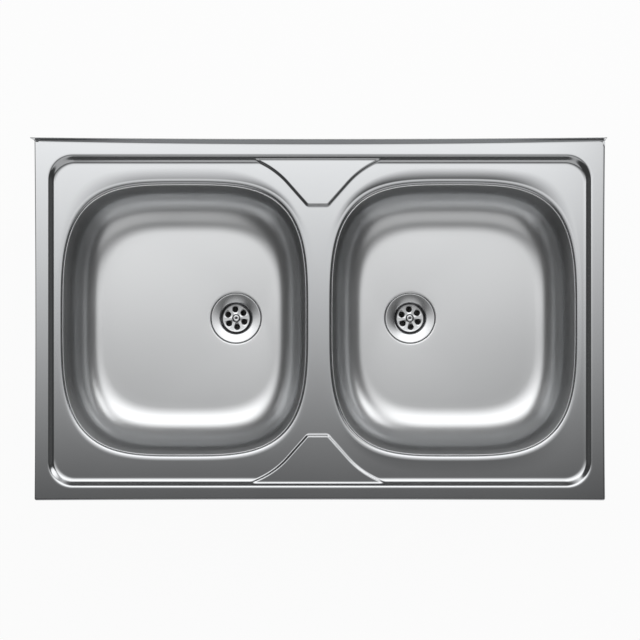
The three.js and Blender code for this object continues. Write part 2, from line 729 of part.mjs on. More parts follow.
// A bracket on the right-hand side: a tongue over the flange and a slotted leg below it.
function bracket() {
  const seat = SKIRT_BOTTOM + SHEET + GAP;
  const legInner = BRACKET_FACE_X - BRACKET_SHEET;
  const section = new THREE.Shape([
    new THREE.Vector2(BRACKET_TONGUE_END_X, seat),
    new THREE.Vector2(BRACKET_TONGUE_END_X, seat + BRACKET_SHEET),
    new THREE.Vector2(legInner + 1, seat + BRACKET_SHEET),
    new THREE.Vector2(legInner, seat + BRACKET_SHEET - 1),
    new THREE.Vector2(legInner, seat - BRACKET_DROP),
    new THREE.Vector2(BRACKET_FACE_X, seat - BRACKET_DROP),
    new THREE.Vector2(BRACKET_FACE_X, seat),
  ]);
  const angle = new THREE.ExtrudeGeometry(section, { depth: BRACKET_WIDTH, bevelEnabled: false });
  angle.translate(0, 0, -BRACKET_WIDTH / 2).rotateX(Math.PI / 2);
  const half = (BRACKET_SLOT_LENGTH - BRACKET_SLOT_WIDTH) / 2;
  const slotShape = new THREE.Shape();
  slotShape.absarc(half, 0, BRACKET_SLOT_WIDTH / 2, -Math.PI / 2, Math.PI / 2);
  slotShape.absarc(-half, 0, BRACKET_SLOT_WIDTH / 2, Math.PI / 2, 1.5 * Math.PI);
  const slot = new THREE.ExtrudeGeometry(slotShape, { depth: 10, bevelEnabled: false, curveSegments: 6 });
  slot.translate(0, 0, -5).rotateZ(radians(BRACKET_SLOT_DEGREES));
  slot.rotateY(Math.PI / 2).rotateX(Math.PI / 2).translate(BRACKET_FACE_X, 0, woodScrewHeight());
  return toGeometry(toSolid(angle).subtract(toSolid(slot)));
}

function woodScrewHeight() {
  return SKIRT_BOTTOM - BRACKET_DROP / 2;
}

// A chipboard screw that points outwards, with its head on the bracket's inner side.
function woodScrew() {
  const pan = WOOD_SCREW_HEAD_HEIGHT;
  const section = [
    [0, -pan],
    [WOOD_SCREW_HEAD_RADIUS * 0.6, -pan],
    [WOOD_SCREW_HEAD_RADIUS, -pan * 0.4],
    [WOOD_SCREW_HEAD_RADIUS, 0],
    [WOOD_SCREW_RADIUS, 0],
    [WOOD_SCREW_RADIUS, WOOD_SCREW_LENGTH - 3],
    [0, WOOD_SCREW_LENGTH],
  ];
  return turned(section, SMALL_ROUND_STEPS).rotateY(Math.PI / 2);
}

// ---------------------------------------------------------------- assembly

const sink = new THREE.Group();

function addPiece(parent, name, geometry, material) {
  geometry.computeVertexNormals();
  const mesh = new THREE.Mesh(geometry, material);
  mesh.name = name;
  parent.add(mesh);
  return mesh;
}

addPiece(sink, "deck", deck(), MATERIALS.deckSteel);

for (const side of ["left", "right"]) {
  addPiece(sink, `${side}_bowl`, bowl(side), MATERIALS.bowlSteel);

  const outlet = new THREE.Group();
  outlet.position.set(DRAIN_CENTRES_X[side], DRAIN_CENTRE_Y, 0);
  sink.add(outlet);
  addPiece(outlet, `${side}_flange_seal`, flangeSeal(), MATERIALS.blackRubber);
  addPiece(outlet, `${side}_strainer_flange`, strainerFlange(), MATERIALS.strainerSteel);
  addPiece(outlet, `${side}_strainer_screw`, strainerScrew(), MATERIALS.strainerSteel);
  addPiece(outlet, `${side}_lower_seal`, lowerSeal(), MATERIALS.blackRubber);
  addPiece(outlet, `${side}_waste_body`, wasteBody(), MATERIALS.blackPlastic);
  addPiece(outlet, `${side}_insert_nut`, insertNut(), MATERIALS.brass);

  const outwards = side === "left" ? -1 : 1;
  const pad = addPiece(sink, `${side}_sound_pad`, soundPad(), MATERIALS.bitumenPad);
  const padTop = FLOOR_DRAIN_Z - SHEET - GAP;
  const floorRun = OPENING_HALF_X - BLEND_WIDTH_X - RECESS_RADIUS;
  const floorPitch = Math.atan((FLOOR_EDGE_Z - FLOOR_DRAIN_Z) / floorRun) / 2;
  pad.position.set(
    DRAIN_CENTRES_X[side] + outwards * PAD_DISTANCE_FROM_DRAIN,
    DRAIN_CENTRE_Y,
    padTop - PAD_THICKNESS,
  );
  pad.rotation.y = -outwards * floorPitch;

  for (const [end, signY] of [["front", -1], ["back", 1]]) {
    const corner = new THREE.Group();
    corner.position.y = signY * BRACKET_Y;
    corner.rotation.z = side === "left" ? Math.PI : 0;
    sink.add(corner);
    addPiece(corner, `bracket_${end}_${side}`, bracket(), MATERIALS.zincSteel);
    const screw = addPiece(corner, `bracket_screw_${end}_${side}`, woodScrew(), MATERIALS.zincSteel);
    screw.position.set(BRACKET_FACE_X - BRACKET_SHEET - GAP, 0, woodScrewHeight());
  }
}

export default sink;
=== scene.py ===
from math import atan, atan2, copysign, cos, inf, pi, radians, sin, sqrt, tan

import bmesh
import bpy
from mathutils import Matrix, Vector


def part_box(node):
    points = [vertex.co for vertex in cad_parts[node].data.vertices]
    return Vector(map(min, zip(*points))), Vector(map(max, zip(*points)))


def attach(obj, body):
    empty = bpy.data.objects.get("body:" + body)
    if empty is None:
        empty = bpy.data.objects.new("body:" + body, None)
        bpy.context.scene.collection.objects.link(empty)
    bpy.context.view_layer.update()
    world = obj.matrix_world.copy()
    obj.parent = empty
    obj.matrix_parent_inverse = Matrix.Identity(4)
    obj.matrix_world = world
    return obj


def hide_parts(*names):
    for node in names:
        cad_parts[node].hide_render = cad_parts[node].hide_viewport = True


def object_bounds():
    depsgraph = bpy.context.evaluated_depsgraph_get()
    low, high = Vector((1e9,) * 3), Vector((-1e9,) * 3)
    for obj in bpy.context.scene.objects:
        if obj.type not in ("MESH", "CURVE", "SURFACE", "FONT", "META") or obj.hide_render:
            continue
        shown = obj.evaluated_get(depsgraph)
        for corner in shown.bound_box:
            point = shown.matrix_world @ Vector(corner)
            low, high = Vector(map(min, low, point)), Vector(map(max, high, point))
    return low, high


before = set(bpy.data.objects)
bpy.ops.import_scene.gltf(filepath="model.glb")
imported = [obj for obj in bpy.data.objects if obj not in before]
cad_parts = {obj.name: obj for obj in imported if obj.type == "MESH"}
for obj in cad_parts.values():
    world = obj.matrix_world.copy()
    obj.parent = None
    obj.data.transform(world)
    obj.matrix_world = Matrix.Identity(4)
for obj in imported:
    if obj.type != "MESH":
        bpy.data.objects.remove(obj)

CAD_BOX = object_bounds()

# Sizes are in millimetres, as on a drawing, and become metres where meshes are made.
# +X runs to the right, +Y to the wall behind the sink, +Z up.
MM = 0.001
CORNERS = [(1, 1), (-1, 1), (-1, -1), (1, -1)]  # signs of X and Y, anticlockwise

# Sheet metal
SHEET = 0.8
GUARD = 1.6  # flat strip kept beside every curved stretch, so that flats shade flat

# Rim
RIM_HALF_X = 400
RIM_HALF_Y = 252.5
RIM_HEIGHT = 6.5
RIM_CORNER_RADIUS = 3
BACK_CORNER_RADIUS = 1.9
RIM_RUN = 0.4  # share of a corner's fan on either side of its arc
SIDE_BOW = 1.2
FRONT_BOW = 1
BACK_BOW = 4.5

# Edges turned down at the front and sides, and up at the back
EDGE_BEND = 1.6
SKIRT_BOTTOM = -21.5
FLANGE_WIDTH = 14
UPSTAND_HEIGHT = 14
UPSTAND_LEAN = 3
UPSTAND_BOW = 2.2
UPSTAND_LEFT_EAR = 4.5
UPSTAND_RIGHT_EAR = 1.5

# Step from the rim down to the deck: half length, half depth and corner radius
STEP_OUTER = (382, 234, 35)
STEP_INNER = (370.6, 219.9, 28)
STEP_CENTRE_Y = -1
STEP_HOLLOW = 0.45
STEP_ROUND = 0.25

# Raised ledges in the middle of the back and the front
LEDGE_HEIGHT = 2.5
LEDGE_CENTRE_X = -2.8
LEDGE_END_Y = 159
LEDGE_CORNER_RADIUS = 7
LEDGE_FLANK = radians(48.5)
LEDGE_SWEEP_START = Vector((43.9, 191.1))
LEDGE_SWEEP_RADIUS = 118
LEDGE_WIDE_Y = 228
LEDGE_FLANK_WIDTH = 5
LEDGE_FLANK_ROUND = 0.35
LEDGE_STEP_BLEND = 0.9
LEDGE_GUARD = 0.8
LEDGE_BORDER_Y = 150
LEDGE_MARGIN = 9

# Bowl openings and bowls
OPENING_HALF_X = 176.6
OPENING_HALF_Y = 195.6
SQUARENESS = 3.5
BOWL_CENTRES = {"left": Vector((-190.2, 0.6)), "right": Vector((188.1, 0.6))}
BRIDGE_X = -1.5
LAND_DROP = 0.1
LAND_DROPS = {"left": (1, -0.1), "right": (1.9, -0.3)}  # more to fall at the back and the front
SIDE_LEAD = 0.5  # from the opening out to its lip's start, at the sides
END_LEAD = 2.2  # and at the front and back
LIP_INSET = 4.6
LIP_FALL = 2.4
LIP_BOTTOM = -10
BOWL_EDGE_HALF_X = OPENING_HALF_X - 6.2
BOWL_EDGE_HALF_Y = OPENING_HALF_Y - 6.2
BOWL_EDGE_Z = -4.2
WALL_DRAFT = radians(4)
BLEND_TOP_Z = -98
BLEND_WIDTH_X = 40
BLEND_WIDTH_Y = 56
FLOOR_EDGE_Z = -148.5
FLOOR_DRAIN_Z = -150

# Waste outlets, with places in a section as (radius, height)
DRAIN_CENTRES = {"left": Vector((-122, 3)), "right": Vector((131.5, 3))}
RECESS_RADIUS = 39.5
RECESS_WALL = [
    (38.2, -150.1), (37.6, -150.22), (37.1, -150.5), (36.75, -150.95), (36.5, -151.6), (36.35, -153.2),
]
SEAT_OUTER = (36.4, -154)
SEAT_HOLE = (26.5, -156.4)
STRAINER_SHEET = 0.9
STRAINER_RADIUS = 35.8
STRAINER_CUP_RADIUS = 23.2
STRAINER_DISC_RADIUS = 19
STRAINER_DISC_Z = -163
FLANGE_EDGE_Z = -151.8
STRAINER_HOLES = 6
STRAINER_HOLE_RADIUS = 4.5
STRAINER_HOLE_CIRCLE = 12.9
STRAINER_FIRST_HOLE = radians(96)
SCREW_HOLE_RADIUS = 3.3
SCREW_RADIUS = 2.8
SCREW_THREAD = (1, 0.35)
SEAL_LIFT = 0.3
WASTE_TOP = -164.6
WASTE_NECK = -192
WASTE_BOTTOM = -213
WASTE_FLANGE_RADIUS = 38
WASTE_FUNNEL_RADIUS = 32
WASTE_MOUTH_RADIUS = 25.6
WASTE_THREAD_RADIUS = 23.9
WASTE_BORE_RADIUS = 20
WASTE_THREAD = (2.31, 1.2)  # pitch and depth
HUB_RADIUS = 9
HUB_TOP = -177
RIB_SIZE = (28.5, 2.6, 11)
RIB_MIDDLE = 14.75
NUT_CORNER_RADIUS = 5 / cos(pi / 6)
NUT_POCKET_DEPTH = 5.3
NUT_CLEARANCE = 0.3
NUT_BORE_RADIUS = 3.1
HEXAGON_TURN = (0, 0, pi / 6)

# Sound pads and fixing brackets
PAD_HALF_X = 55
PAD_HALF_Y = 75
PAD_THICKNESS = 2.4
PAD_CORNER_RADIUS = 12
PAD_FALL_RUN = 189
BRACKET_SHEET = 1.5
BRACKET_SLOT_WIDTH = 5
BRACKET_SLOT_RUN = 15
BRACKET_SLOT_SLANT = radians(30)
RECESS_BLADE = (3.6, 0.8, 2)

# Mesh fineness
BOWL_POINTS = 160
MEASURED_POINTS = 4001
BEND_STEPS = 5
BLEND_STEPS = 20
CORNER_COLUMNS = 20
SPIN_STEPS = 96
SEAL_STEPS = 64

# Steels: light and dark colour, roughness, the grain's scales and depth, and the waves' depth
DECK_FINISH = ((0.585, 0.595, 0.605), (0.555, 0.565, 0.578), 0.12, (60, 1500, 60), 0.0006, 0.09)
BOWL_FINISH = ((0.78, 0.79, 0.795), (0.75, 0.76, 0.77), 0.30, (500, 500, 200), 0.002, 0.06)
TURNED_FINISH = ((0.72, 0.73, 0.74), (0.68, 0.69, 0.7), 0.19, (900, 900, 900), 0.0005, 0.02)
UNDERSIDE_COLOUR = (0.46, 0.465, 0.47)

# Painted shade on the steels, as height bands coloured darker where shade falls, in metres: their lower end,
# its edge's width, their upper end, their colour, and how strongly they reflect at a glancing angle
# painted shade: the bowls' upper walls and blends are coloured darker and reflect less at a glancing angle
BOWL_PAINTED_SHADE = (-0.1, 0.07, -0.0063, (0.6, 0.605, 0.61), 0.3)
# painted shade: the strainer's cup wall is coloured nearly black, as shade inside the cup
STRAINER_PAINTED_SHADE = (-0.1628, 0.0004, -0.1552, (0.16, 0.16, 0.165), 1)
# painted shade: the screw's dimple, the edge of its head and its shank are coloured nearly black
SCREW_PAINTED_SHADE = (-0.2, 0.0004, -0.1607, (0.16, 0.16, 0.165), 1)
PAINTED_SHADE_TOP_EDGE = 0.0004

# Other finishes: two colours of their patches, how metallic, patches and grain as a noise's stretch,
# scale and detail, roughness as a base and what patches and grain add to it, and relief as their
# shares in it, its depth and its strength
EVEN = (1, 1, 1)
RUBBER_FINISH = (
    ((0.012, 0.012, 0.012), (0.03, 0.03, 0.031)), 0.0,
    (EVEN, 60, 3), (EVEN, 900, 2), (0.6, 0.25, 0.0), (0.0, 1.0, 0.0001, 0.6),
)
PLASTIC_FINISH = (
    ((0.022, 0.022, 0.023), (0.032, 0.032, 0.033)), 0.0,
    ((1, 1, 0.3), 40, 2), (EVEN, 1400, 2), (0.38, 0.0, 0.16), (0.0, 1.0, 0.00006, 0.5),
)
BRASS_FINISH = (
    ((0.56, 0.37, 0.13), (0.78, 0.57, 0.25)), 1.0,
    (EVEN, 140, 3), ((1, 1, 14), 300, 2), (0.2, 0.2, 0.0), (0.0, 1.0, 0.00005, 0.4),
)
ZINC_FINISH = (
    ((0.42, 0.44, 0.46), (0.6, 0.61, 0.6)), 1.0,
    (EVEN, 220, 4), ((1, 6, 1), 90, 2), (0.3, 0.18, 0.0), (1.0, 0.4, 0.00008, 0.5),
)

# The photograph's view
CAMERA_HEIGHT = 4000
PHOTO_PIXELS = 640
PIXELS_PER_MM = 0.7136  # at the rim
PHOTO_CENTRE = Vector((0.35, 0.42))  # the point of the rim's plane in the middle of the picture

# The studio, in metres
FLOOR_REACH = 6
FLOOR_GAP = 0.0005
NECK_SHADE_RADIUS = 0.0245
STUDIO_REACH = 3
CEILING_HEIGHT = 1.15
CEILING_LEVEL = 0.06  # between the softboxes
WALL_BOTTOM = 0.12
WALL_STRENGTHS = {"front": 0.45, "right": 0.1, "back": 0.9, "left": 0.09}
WORLD_STRENGTH = 0.35
WHITE = (1, 1, 1, 1)
# Soft-edged lit fields of the ceiling: from, to and edge width along X, the same along Y, and strength
SOFTBOXES = [
    ((-0.95, 0.62, 0.5), (0.1, 1.55, 1.2), 1.76),
    ((-0.52, 1.34, 0.35), (-1.96, -0.52, 0.1), 0.52),
    ((0.98, 2.62, 0.85), (0.62, 2.88, 0.2), 1.71),
]


# ---- mesh helpers

def linked(name, data):
    """A new object in the scene."""
    made = bpy.data.objects.new(name, data)
    bpy.context.scene.collection.objects.link(made)
    return made


def new_piece(name, slot):
    """An empty mesh object with its slot's material."""
    mesh = bpy.data.meshes.new(name)
    piece = linked(name, mesh)
    mesh.materials.append(FINISHES[slot])
    return piece


def only(piece):
    """Selects one piece and makes it active."""
    bpy.ops.object.select_all(action="DESELECT")
    piece.select_set(True)
    bpy.context.view_layer.objects.active = piece


def smooth(piece, degrees=35):
    """Shades a piece smooth but for its sharper edges."""
    only(piece)
    bpy.ops.object.shade_smooth_by_angle(angle=radians(degrees))


def apply_modifier(piece, kind, **settings):
    modifier = piece.modifiers.new(kind.lower(), kind)
    for name, value in settings.items():
        setattr(modifier, name, value)
    only(piece)
    bpy.ops.object.modifier_apply(modifier=modifier.name)


def thicken(piece, thickness=SHEET):
    """Thickens a sheet away from the side its faces look to."""
    apply_modifier(piece, "SOLIDIFY", thickness=thickness * MM, offset=-1, use_even_offset=True)


def finish_piece(piece, node, centre=Vector((0, 0))):
    """Moves a piece's mesh to its place, shades it and lets it replace its node."""
    piece.location += centre.to_3d() * MM
    only(piece)
    bpy.ops.object.transform_apply(location=True, rotation=True, scale=True)
    smooth(piece)
    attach(piece, "root")
    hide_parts(node)


def finish_pressing(bm, name, slot, node, degrees):
    """Makes a piece of a sheet whose seen side looks up. Marks the side that thickening adds."""
    bmesh.ops.recalc_face_normals(bm, faces=bm.faces)
    if sum(face.normal.z * face.calc_area() for face in bm.faces) < 0:
        bmesh.ops.reverse_faces(bm, faces=bm.faces)
    piece = new_piece(name, slot)
    bm.to_mesh(piece.data)
    bm.free()
    smooth(piece, degrees)
    seen_faces = len(piece.data.polygons)
    thicken(piece)
    mark = piece.data.attributes.new("underside", "FLOAT", "FACE")
    mark.data.foreach_set("value", [float(i >= seen_faces) for i in range(len(piece.data.polygons))])
    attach(piece, "root")
    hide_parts(node)


def ring_verts(bm, points):
    return [bm.verts.new(Vector(point) * MM) for point in points]


def bridge(bm, inner, outer, closed=True):
    """Quads between two rows of vertices of equal length."""
    count = len(inner) if closed else len(inner) - 1
    for i in range(count):
        j = (i + 1) % len(inner)
        bm.faces.new((inner[i], outer[i], outer[j], inner[j]))


def lay_loops(bm, loops):
    """Joins closed loops of points. Returns the first one's vertices."""
    rings = [ring_verts(bm, loop) for loop in loops]
    for outer, inner in zip(rings, rings[1:]):
        bridge(bm, outer, inner)
    return rings[0]


def lay_strips(bm, strips):
    """Joins open rows of vertices, back from their ends as far as both reach."""
    for here, there in zip(strips, strips[1:]):
        shared = min(len(here), len(there))
        bridge(bm, here[-shared:], there[-shared:], closed=False)


def s_curve(share, hollow, round_over):
    """Rises from 0 to 1 with a hollow start, a straight middle and a rounded end."""
    slope = 1 / (1 - hollow / 2 - round_over / 2)
    if share <= 0:
        return 0
    if share < hollow:
        return slope * share ** 2 / (2 * hollow)
    if share < 1 - round_over:
        return slope * (share - hollow / 2)
    left = max(1 - share, 0)
    return 1 - slope * left ** 2 / (2 * round_over)


def smooth_max(a, b, reach):
    """The larger of two heights, rounded where they cross, and exact on flats."""
    reach *= min(1, max(a, b))
    overlap = max(reach - abs(a - b), 0)
    return max(a, b) + (overlap ** 2 / (4 * reach) if reach else 0)


def arc(centre, radius, start_degrees, end_degrees, steps):
    """Points of a profile's rounded stretch."""
    angles = [radians(degrees) for degrees in spread(start_degrees, end_degrees, steps + 1)]
    return [(centre[0] + radius * cos(angle), centre[1] + radius * sin(angle)) for angle in angles]


def spread(start, end, count):
    """Evenly spaced values with both ends."""
    return [start + (end - start) * i / (count - 1) for i in range(count)]


# ---- outlines

def powered(value, power):
    return copysign(abs(value) ** power, value)


def squircle_point(angle, half_x, half_y, squareness=SQUARENESS):
    x, y = (powered(value, 2 / squareness) for value in (cos(angle), sin(angle)))
    return Vector((half_x * x, half_y * y))


def even_angles():
    """Angles that space points evenly along a bowl's outline."""
    fine = spread(0, 2 * pi, MEASURED_POINTS)
    points = [squircle_point(angle, BOWL_EDGE_HALF_X, BOWL_EDGE_HALF_Y) for angle in fine]
    lengths = [0]
    for before, after in zip(points, points[1:]):
        lengths.append(lengths[-1] + (after - before).length)
    angles = []
    at = 0
    for length in spread(0, lengths[-1], BOWL_POINTS + 1)[:-1]:
        while lengths[at + 1] < length:
            at += 1
        part = (length - lengths[at]) / (lengths[at + 1] - lengths[at])
        angles.append(fine[at] + part * (fine[at + 1] - fine[at]))
    return angles


BOWL_ANGLES = even_angles()


def squircle(centre, half_x, half_y, squareness, z):
    return [(*(centre + squircle_point(angle, half_x, half_y, squareness)), z) for angle in BOWL_ANGLES]


def opening_ring(side, insets, heights):
    """A loop round an opening, with an inset and a height for each point."""
    ring = []
    for angle, inset, z in zip(BOWL_ANGLES, insets, heights):
        reach = squircle_point(angle, OPENING_HALF_X - inset, OPENING_HALF_Y - inset)
        ring.append(Vector((*(BOWL_CENTRES[side] + reach), z)))
    return ring


def opening_normal(angle):
    x, y = (powered(value, SQUARENESS - 1) for value in squircle_point(angle, 1, 1))
    return Vector((x / OPENING_HALF_X, y / OPENING_HALF_Y)).normalized()


OPENING_NORMALS = [opening_normal(angle) for angle in BOWL_ANGLES]
END_SHARES = [abs(normal.y) ** 1.5 for normal in OPENING_NORMALS]  # 0 at the sides, 1 at the front and back
LIP_LEADS = [SIDE_LEAD + (END_LEAD - SIDE_LEAD) * share for share in END_SHARES]


def land_drops(side):
    """How far the deck falls to each point of an opening."""
    back, front = LAND_DROPS[side]
    drops = [back if normal.y > 0 else front for normal in OPENING_NORMALS]
    return [LAND_DROP + drop * share for drop, share in zip(drops, END_SHARES)]


# ---- deck: heights

LEDGE_SINE = sin(LEDGE_FLANK)
LEDGE_COSINE = cos(LEDGE_FLANK)
LEDGE_SWEEP_CENTRE = LEDGE_SWEEP_START + LEDGE_SWEEP_RADIUS * Vector((LEDGE_SINE, -LEDGE_COSINE))


def step_height(share):
    return RIM_HEIGHT * s_curve(share, STEP_HOLLOW, STEP_ROUND)


def flank_x(y, inside):
    """Distance from a ledge's middle to a line inside its straight flank."""
    return LEDGE_SWEEP_START.x + ((y - LEDGE_SWEEP_START.y) * LEDGE_COSINE - inside) / LEDGE_SINE


def ledge_inside(x, y):
    """Distance from a ledge's outline in to a point, with x from its middle."""
    point = Vector((abs(x), y))
    away = point - LEDGE_SWEEP_CENTRE
    if atan2(-away.x, away.y) <= LEDGE_FLANK:
        from_flank = away.length - LEDGE_SWEEP_RADIUS
    else:
        from_flank = (point - LEDGE_SWEEP_START).dot(Vector((-LEDGE_SINE, LEDGE_COSINE)))
    corner_y = LEDGE_END_Y + LEDGE_CORNER_RADIUS
    from_corner = point - Vector((flank_x(corner_y, LEDGE_CORNER_RADIUS), corner_y))
    along_flank = from_corner.x / LEDGE_SINE
    along_end = -from_corner.y - along_flank * LEDGE_COSINE
    if along_flank > 0 and along_end > 0:
        return LEDGE_CORNER_RADIUS - from_corner.length
    return min(from_flank, y - LEDGE_END_Y)


def ledge_half_width(y, inside):
    """Distance from a ledge's middle to a line inside its flank and its sweep."""
    y = min(max(y, LEDGE_END_Y), LEDGE_WIDE_Y)
    centre = LEDGE_SWEEP_CENTRE
    radius = LEDGE_SWEEP_RADIUS + inside
    if y > centre.y + radius * LEDGE_COSINE:
        return centre.x - sqrt(radius ** 2 - (y - centre.y) ** 2)
    return flank_x(y, inside)


def ledge_zone_height(x, y, share):
    """The deck's height near a ledge, with x from the ledge's middle."""
    flank_share = ledge_inside(x, y) / LEDGE_FLANK_WIDTH
    ledge = LEDGE_HEIGHT * s_curve(flank_share, LEDGE_FLANK_ROUND, LEDGE_FLANK_ROUND)
    return smooth_max(step_height(share), ledge, LEDGE_STEP_BLEND)


# ---- deck: columns

# The rim and the step are columns of points that run outwards, side by side all round the
# sink. A column knows its place on the step's two outlines and on the rim's.

STEP_WIDTH = STEP_OUTER[1] - STEP_INNER[1]
STEP_SHARES = [
    -GUARD / STEP_WIDTH, 0, 0.05, 0.1, 0.17, 0.24, 0.31, 0.38, 0.45, 0.53, 0.61, 0.68, 0.75, 0.8, 0.85,
    0.9, 0.95, 1, 1 + GUARD / STEP_WIDTH,
]


def edge_column(axis, sign, part):
    """A column on a straight edge: axis 0 for the sides, 1 for the front and back."""
    def place(across, along):
        return Vector((part * along, sign * across) if axis else (sign * across, part * along))

    def outline(half_x, half_y, radius):
        return place((half_x, half_y)[axis], (half_y, half_x)[axis] - radius)

    def rim(inset):
        return place((RIM_HALF_X, RIM_HALF_Y)[axis] - inset, STEP_OUTER[1 - axis] - STEP_OUTER[2])

    return {"outline": outline, "rim": rim, "upstand": axis == 1 and sign > 0, "skirt": axis == 0 or sign < 0}


def corner_column(quarter, part):
    """A column of a corner's fan, with part from 0 to 1 going anticlockwise."""
    sign_x, sign_y = CORNERS[quarter]

    def on_fan(centre_x, centre_y, radius, turned):
        angle = pi / 2 * (quarter + turned)
        centre = Vector((sign_x * centre_x, sign_y * centre_y))
        return centre + radius * Vector((cos(angle), sin(angle)))

    def outline(half_x, half_y, radius):
        return on_fan(half_x - radius, half_y - radius, radius, part)

    def rim(inset):
        radius = max((RIM_CORNER_RADIUS if sign_y < 0 else BACK_CORNER_RADIUS) - inset, 0.25)
        sides = [edge_column(0, sign_x, sign_y), edge_column(1, sign_y, sign_x)]
        enter, leave = (side["rim"](inset) for side in (reversed(sides) if quarter % 2 else sides))
        turned = min(max((part - RIM_RUN) / (1 - 2 * RIM_RUN), 0), 1)
        on_arc = on_fan(RIM_HALF_X - inset - radius, RIM_HALF_Y - inset - radius, radius, turned)
        if part < RIM_RUN:
            return enter.lerp(on_arc, part / RIM_RUN)
        if part > 1 - RIM_RUN:
            return leave.lerp(on_arc, (1 - part) / RIM_RUN)
        return on_arc

    towards_back = part if quarter == 0 else 1 - part
    upstand = sign_y > 0 and towards_back > 0.55
    skirt = sign_y < 0 or towards_back < 0.45
    return {"outline": outline, "rim": rim, "upstand": upstand, "skirt": skirt}


def sprung(point):
    """Draws a point of the rim in where its thin edges spring inwards."""
    along_x = max(1 - (point.x / RIM_HALF_X) ** 2, 0)
    along_y = max(1 - (point.y / RIM_HALF_Y) ** 2, 0)
    bow = BACK_BOW if point.y > 0 else -FRONT_BOW
    return Vector((point.x - copysign(SIDE_BOW * along_y, point.x), point.y - bow * along_x))


def step_point(column, share):
    """A column's place across the step, or on the flats beside it."""
    sizes = [inner + (outer - inner) * share for inner, outer in zip(STEP_INNER, STEP_OUTER)]
    return column["outline"](*sizes) + Vector((0, STEP_CENTRE_Y))


def rim_rows(rim):
    """A column's last two points, on the rim beside the edge's bend."""
    return [(*sprung(rim(inset)), RIM_HEIGHT) for inset in (EDGE_BEND + GUARD, EDGE_BEND)]


def plain_columns(make, parts, *place):
    """Columns from the deck's flat, up the step and over the rim to the edge's bend."""
    columns = [make(*place, part) for part in parts]
    for column in columns:
        column["rows"] = [(*step_point(column, share), step_height(share)) for share in STEP_SHARES]
        column["rows"] += rim_rows(column["rim"])
    return columns


def ledge_column_x(y, part):
    """Distance from a ledge's middle: part 0 to 1 on its top, to 2 down its flank, to 3 beside it."""
    foot = ledge_half_width(y, -LEDGE_GUARD)
    stops = (0, ledge_half_width(y, LEDGE_FLANK_WIDTH + LEDGE_GUARD), foot, foot + LEDGE_MARGIN)
    at = min(int(abs(part)), 2)
    return copysign(stops[at] + (stops[at + 1] - stops[at]) * (abs(part) - at), part)


def ledge_column(sign, part):
    """A column that also crosses a ledge, from the flat before its narrow end."""
    def rim(inset):
        return Vector((LEDGE_CENTRE_X + ledge_column_x(RIM_HALF_Y, part), sign * (RIM_HALF_Y - inset)))

    inner_rows = [LEDGE_BORDER_Y, LEDGE_END_Y - 1.5, *spread(LEDGE_END_Y, LEDGE_END_Y + 9, 15)]
    inner_rows += spread(LEDGE_END_Y + 10.5, STEP_INNER[1] - 3.2, 30)
    places = [(y, 0) for y in inner_rows]
    places += [(STEP_INNER[1] + STEP_WIDTH * share + sign * STEP_CENTRE_Y, share) for share in STEP_SHARES]
    rows = []
    for y, share in places:
        x = ledge_column_x(y, part)
        rows.append((LEDGE_CENTRE_X + x, sign * y, ledge_zone_height(x, y, share)))
    return {"rows": rows + rim_rows(rim), "rim": rim, "upstand": sign > 0, "skirt": sign < 0}


def deck_columns():
    """All columns anticlockwise, from the back ledge's right-hand border."""
    ledge_edge = LEDGE_CENTRE_X + ledge_column_x(LEDGE_WIDE_Y, 3)
    run = spread((ledge_edge + 14) / (STEP_INNER[0] - STEP_INNER[2]), 1, 18)[:-1]
    side_run = spread(1, -1, 25)[1:-1]
    corner = spread(0, 1, CORNER_COLUMNS + 1)
    half = [*spread(0, 1, 6), *spread(1.09, 2, 11), 2.15, 3]
    parts = [-part for part in reversed(half[1:])] + half
    return [
        *[ledge_column(1, part) for part in reversed(parts)],
        *plain_columns(edge_column, [-part for part in run], 1, 1),
        *plain_columns(corner_column, corner, 1),
        *plain_columns(edge_column, side_run, 0, -1),
        *plain_columns(corner_column, corner, 2),
        *plain_columns(edge_column, [-part for part in reversed(run)], 1, -1),
        *[ledge_column(-1, part) for part in parts],
        *plain_columns(edge_column, run, 1, -1),
        *plain_columns(corner_column, corner, 3),
        *plain_columns(edge_column, reversed(side_run), 0, 1),
        *plain_columns(corner_column, corner, 0),
        *plain_columns(edge_column, reversed(run), 1, 1),
    ]


# ---- deck: surfaces

def skirt_rows(column):
    """From the rim down the skirt, round its lower bend and in along the flange."""
    section = arc((EDGE_BEND, RIM_HEIGHT - EDGE_BEND), EDGE_BEND, 90, 180, BEND_STEPS)[1:]
    section += [(0, RIM_HEIGHT - EDGE_BEND - GUARD), (0, SKIRT_BOTTOM + EDGE_BEND + GUARD)]
    section += arc((EDGE_BEND, SKIRT_BOTTOM + EDGE_BEND), EDGE_BEND, 180, 270, BEND_STEPS)
    section += [(EDGE_BEND + GUARD, SKIRT_BOTTOM), (FLANGE_WIDTH, SKIRT_BOTTOM)]
    return [(*sprung(column["rim"](inset)), z) for inset, z in section]


def upstand_rows(x, ear=0):
    """Up from the back edge to the upstand's top, at one place along the back."""
    bow = max(1 - (x / RIM_HALF_X) ** 2, 0)
    foot = RIM_HALF_Y - BACK_BOW * bow - SHEET / 2
    head = RIM_HALF_Y + UPSTAND_LEAN - UPSTAND_BOW * bow - SHEET - 0.05
    radius = EDGE_BEND - SHEET / 2
    lean = atan2(head - foot, UPSTAND_HEIGHT - radius)
    rows = []
    for step in range(1, BEND_STEPS + 1):
        angle = (pi / 2 - lean) * step / BEND_STEPS
        y = foot - radius + radius * sin(angle)
        rows.append((x, y, RIM_HEIGHT + radius * (1 - cos(angle))))
    top = RIM_HEIGHT + UPSTAND_HEIGHT
    last = Vector(rows[-1])
    for share in (0.1, 0.9, 1):
        rows.append((x, last.y + (head - last.y) * share, last.z + (top - last.z) * share))
    return [(x + ear * (z - RIM_HEIGHT) / UPSTAND_HEIGHT, y, z) for x, y, z in rows]


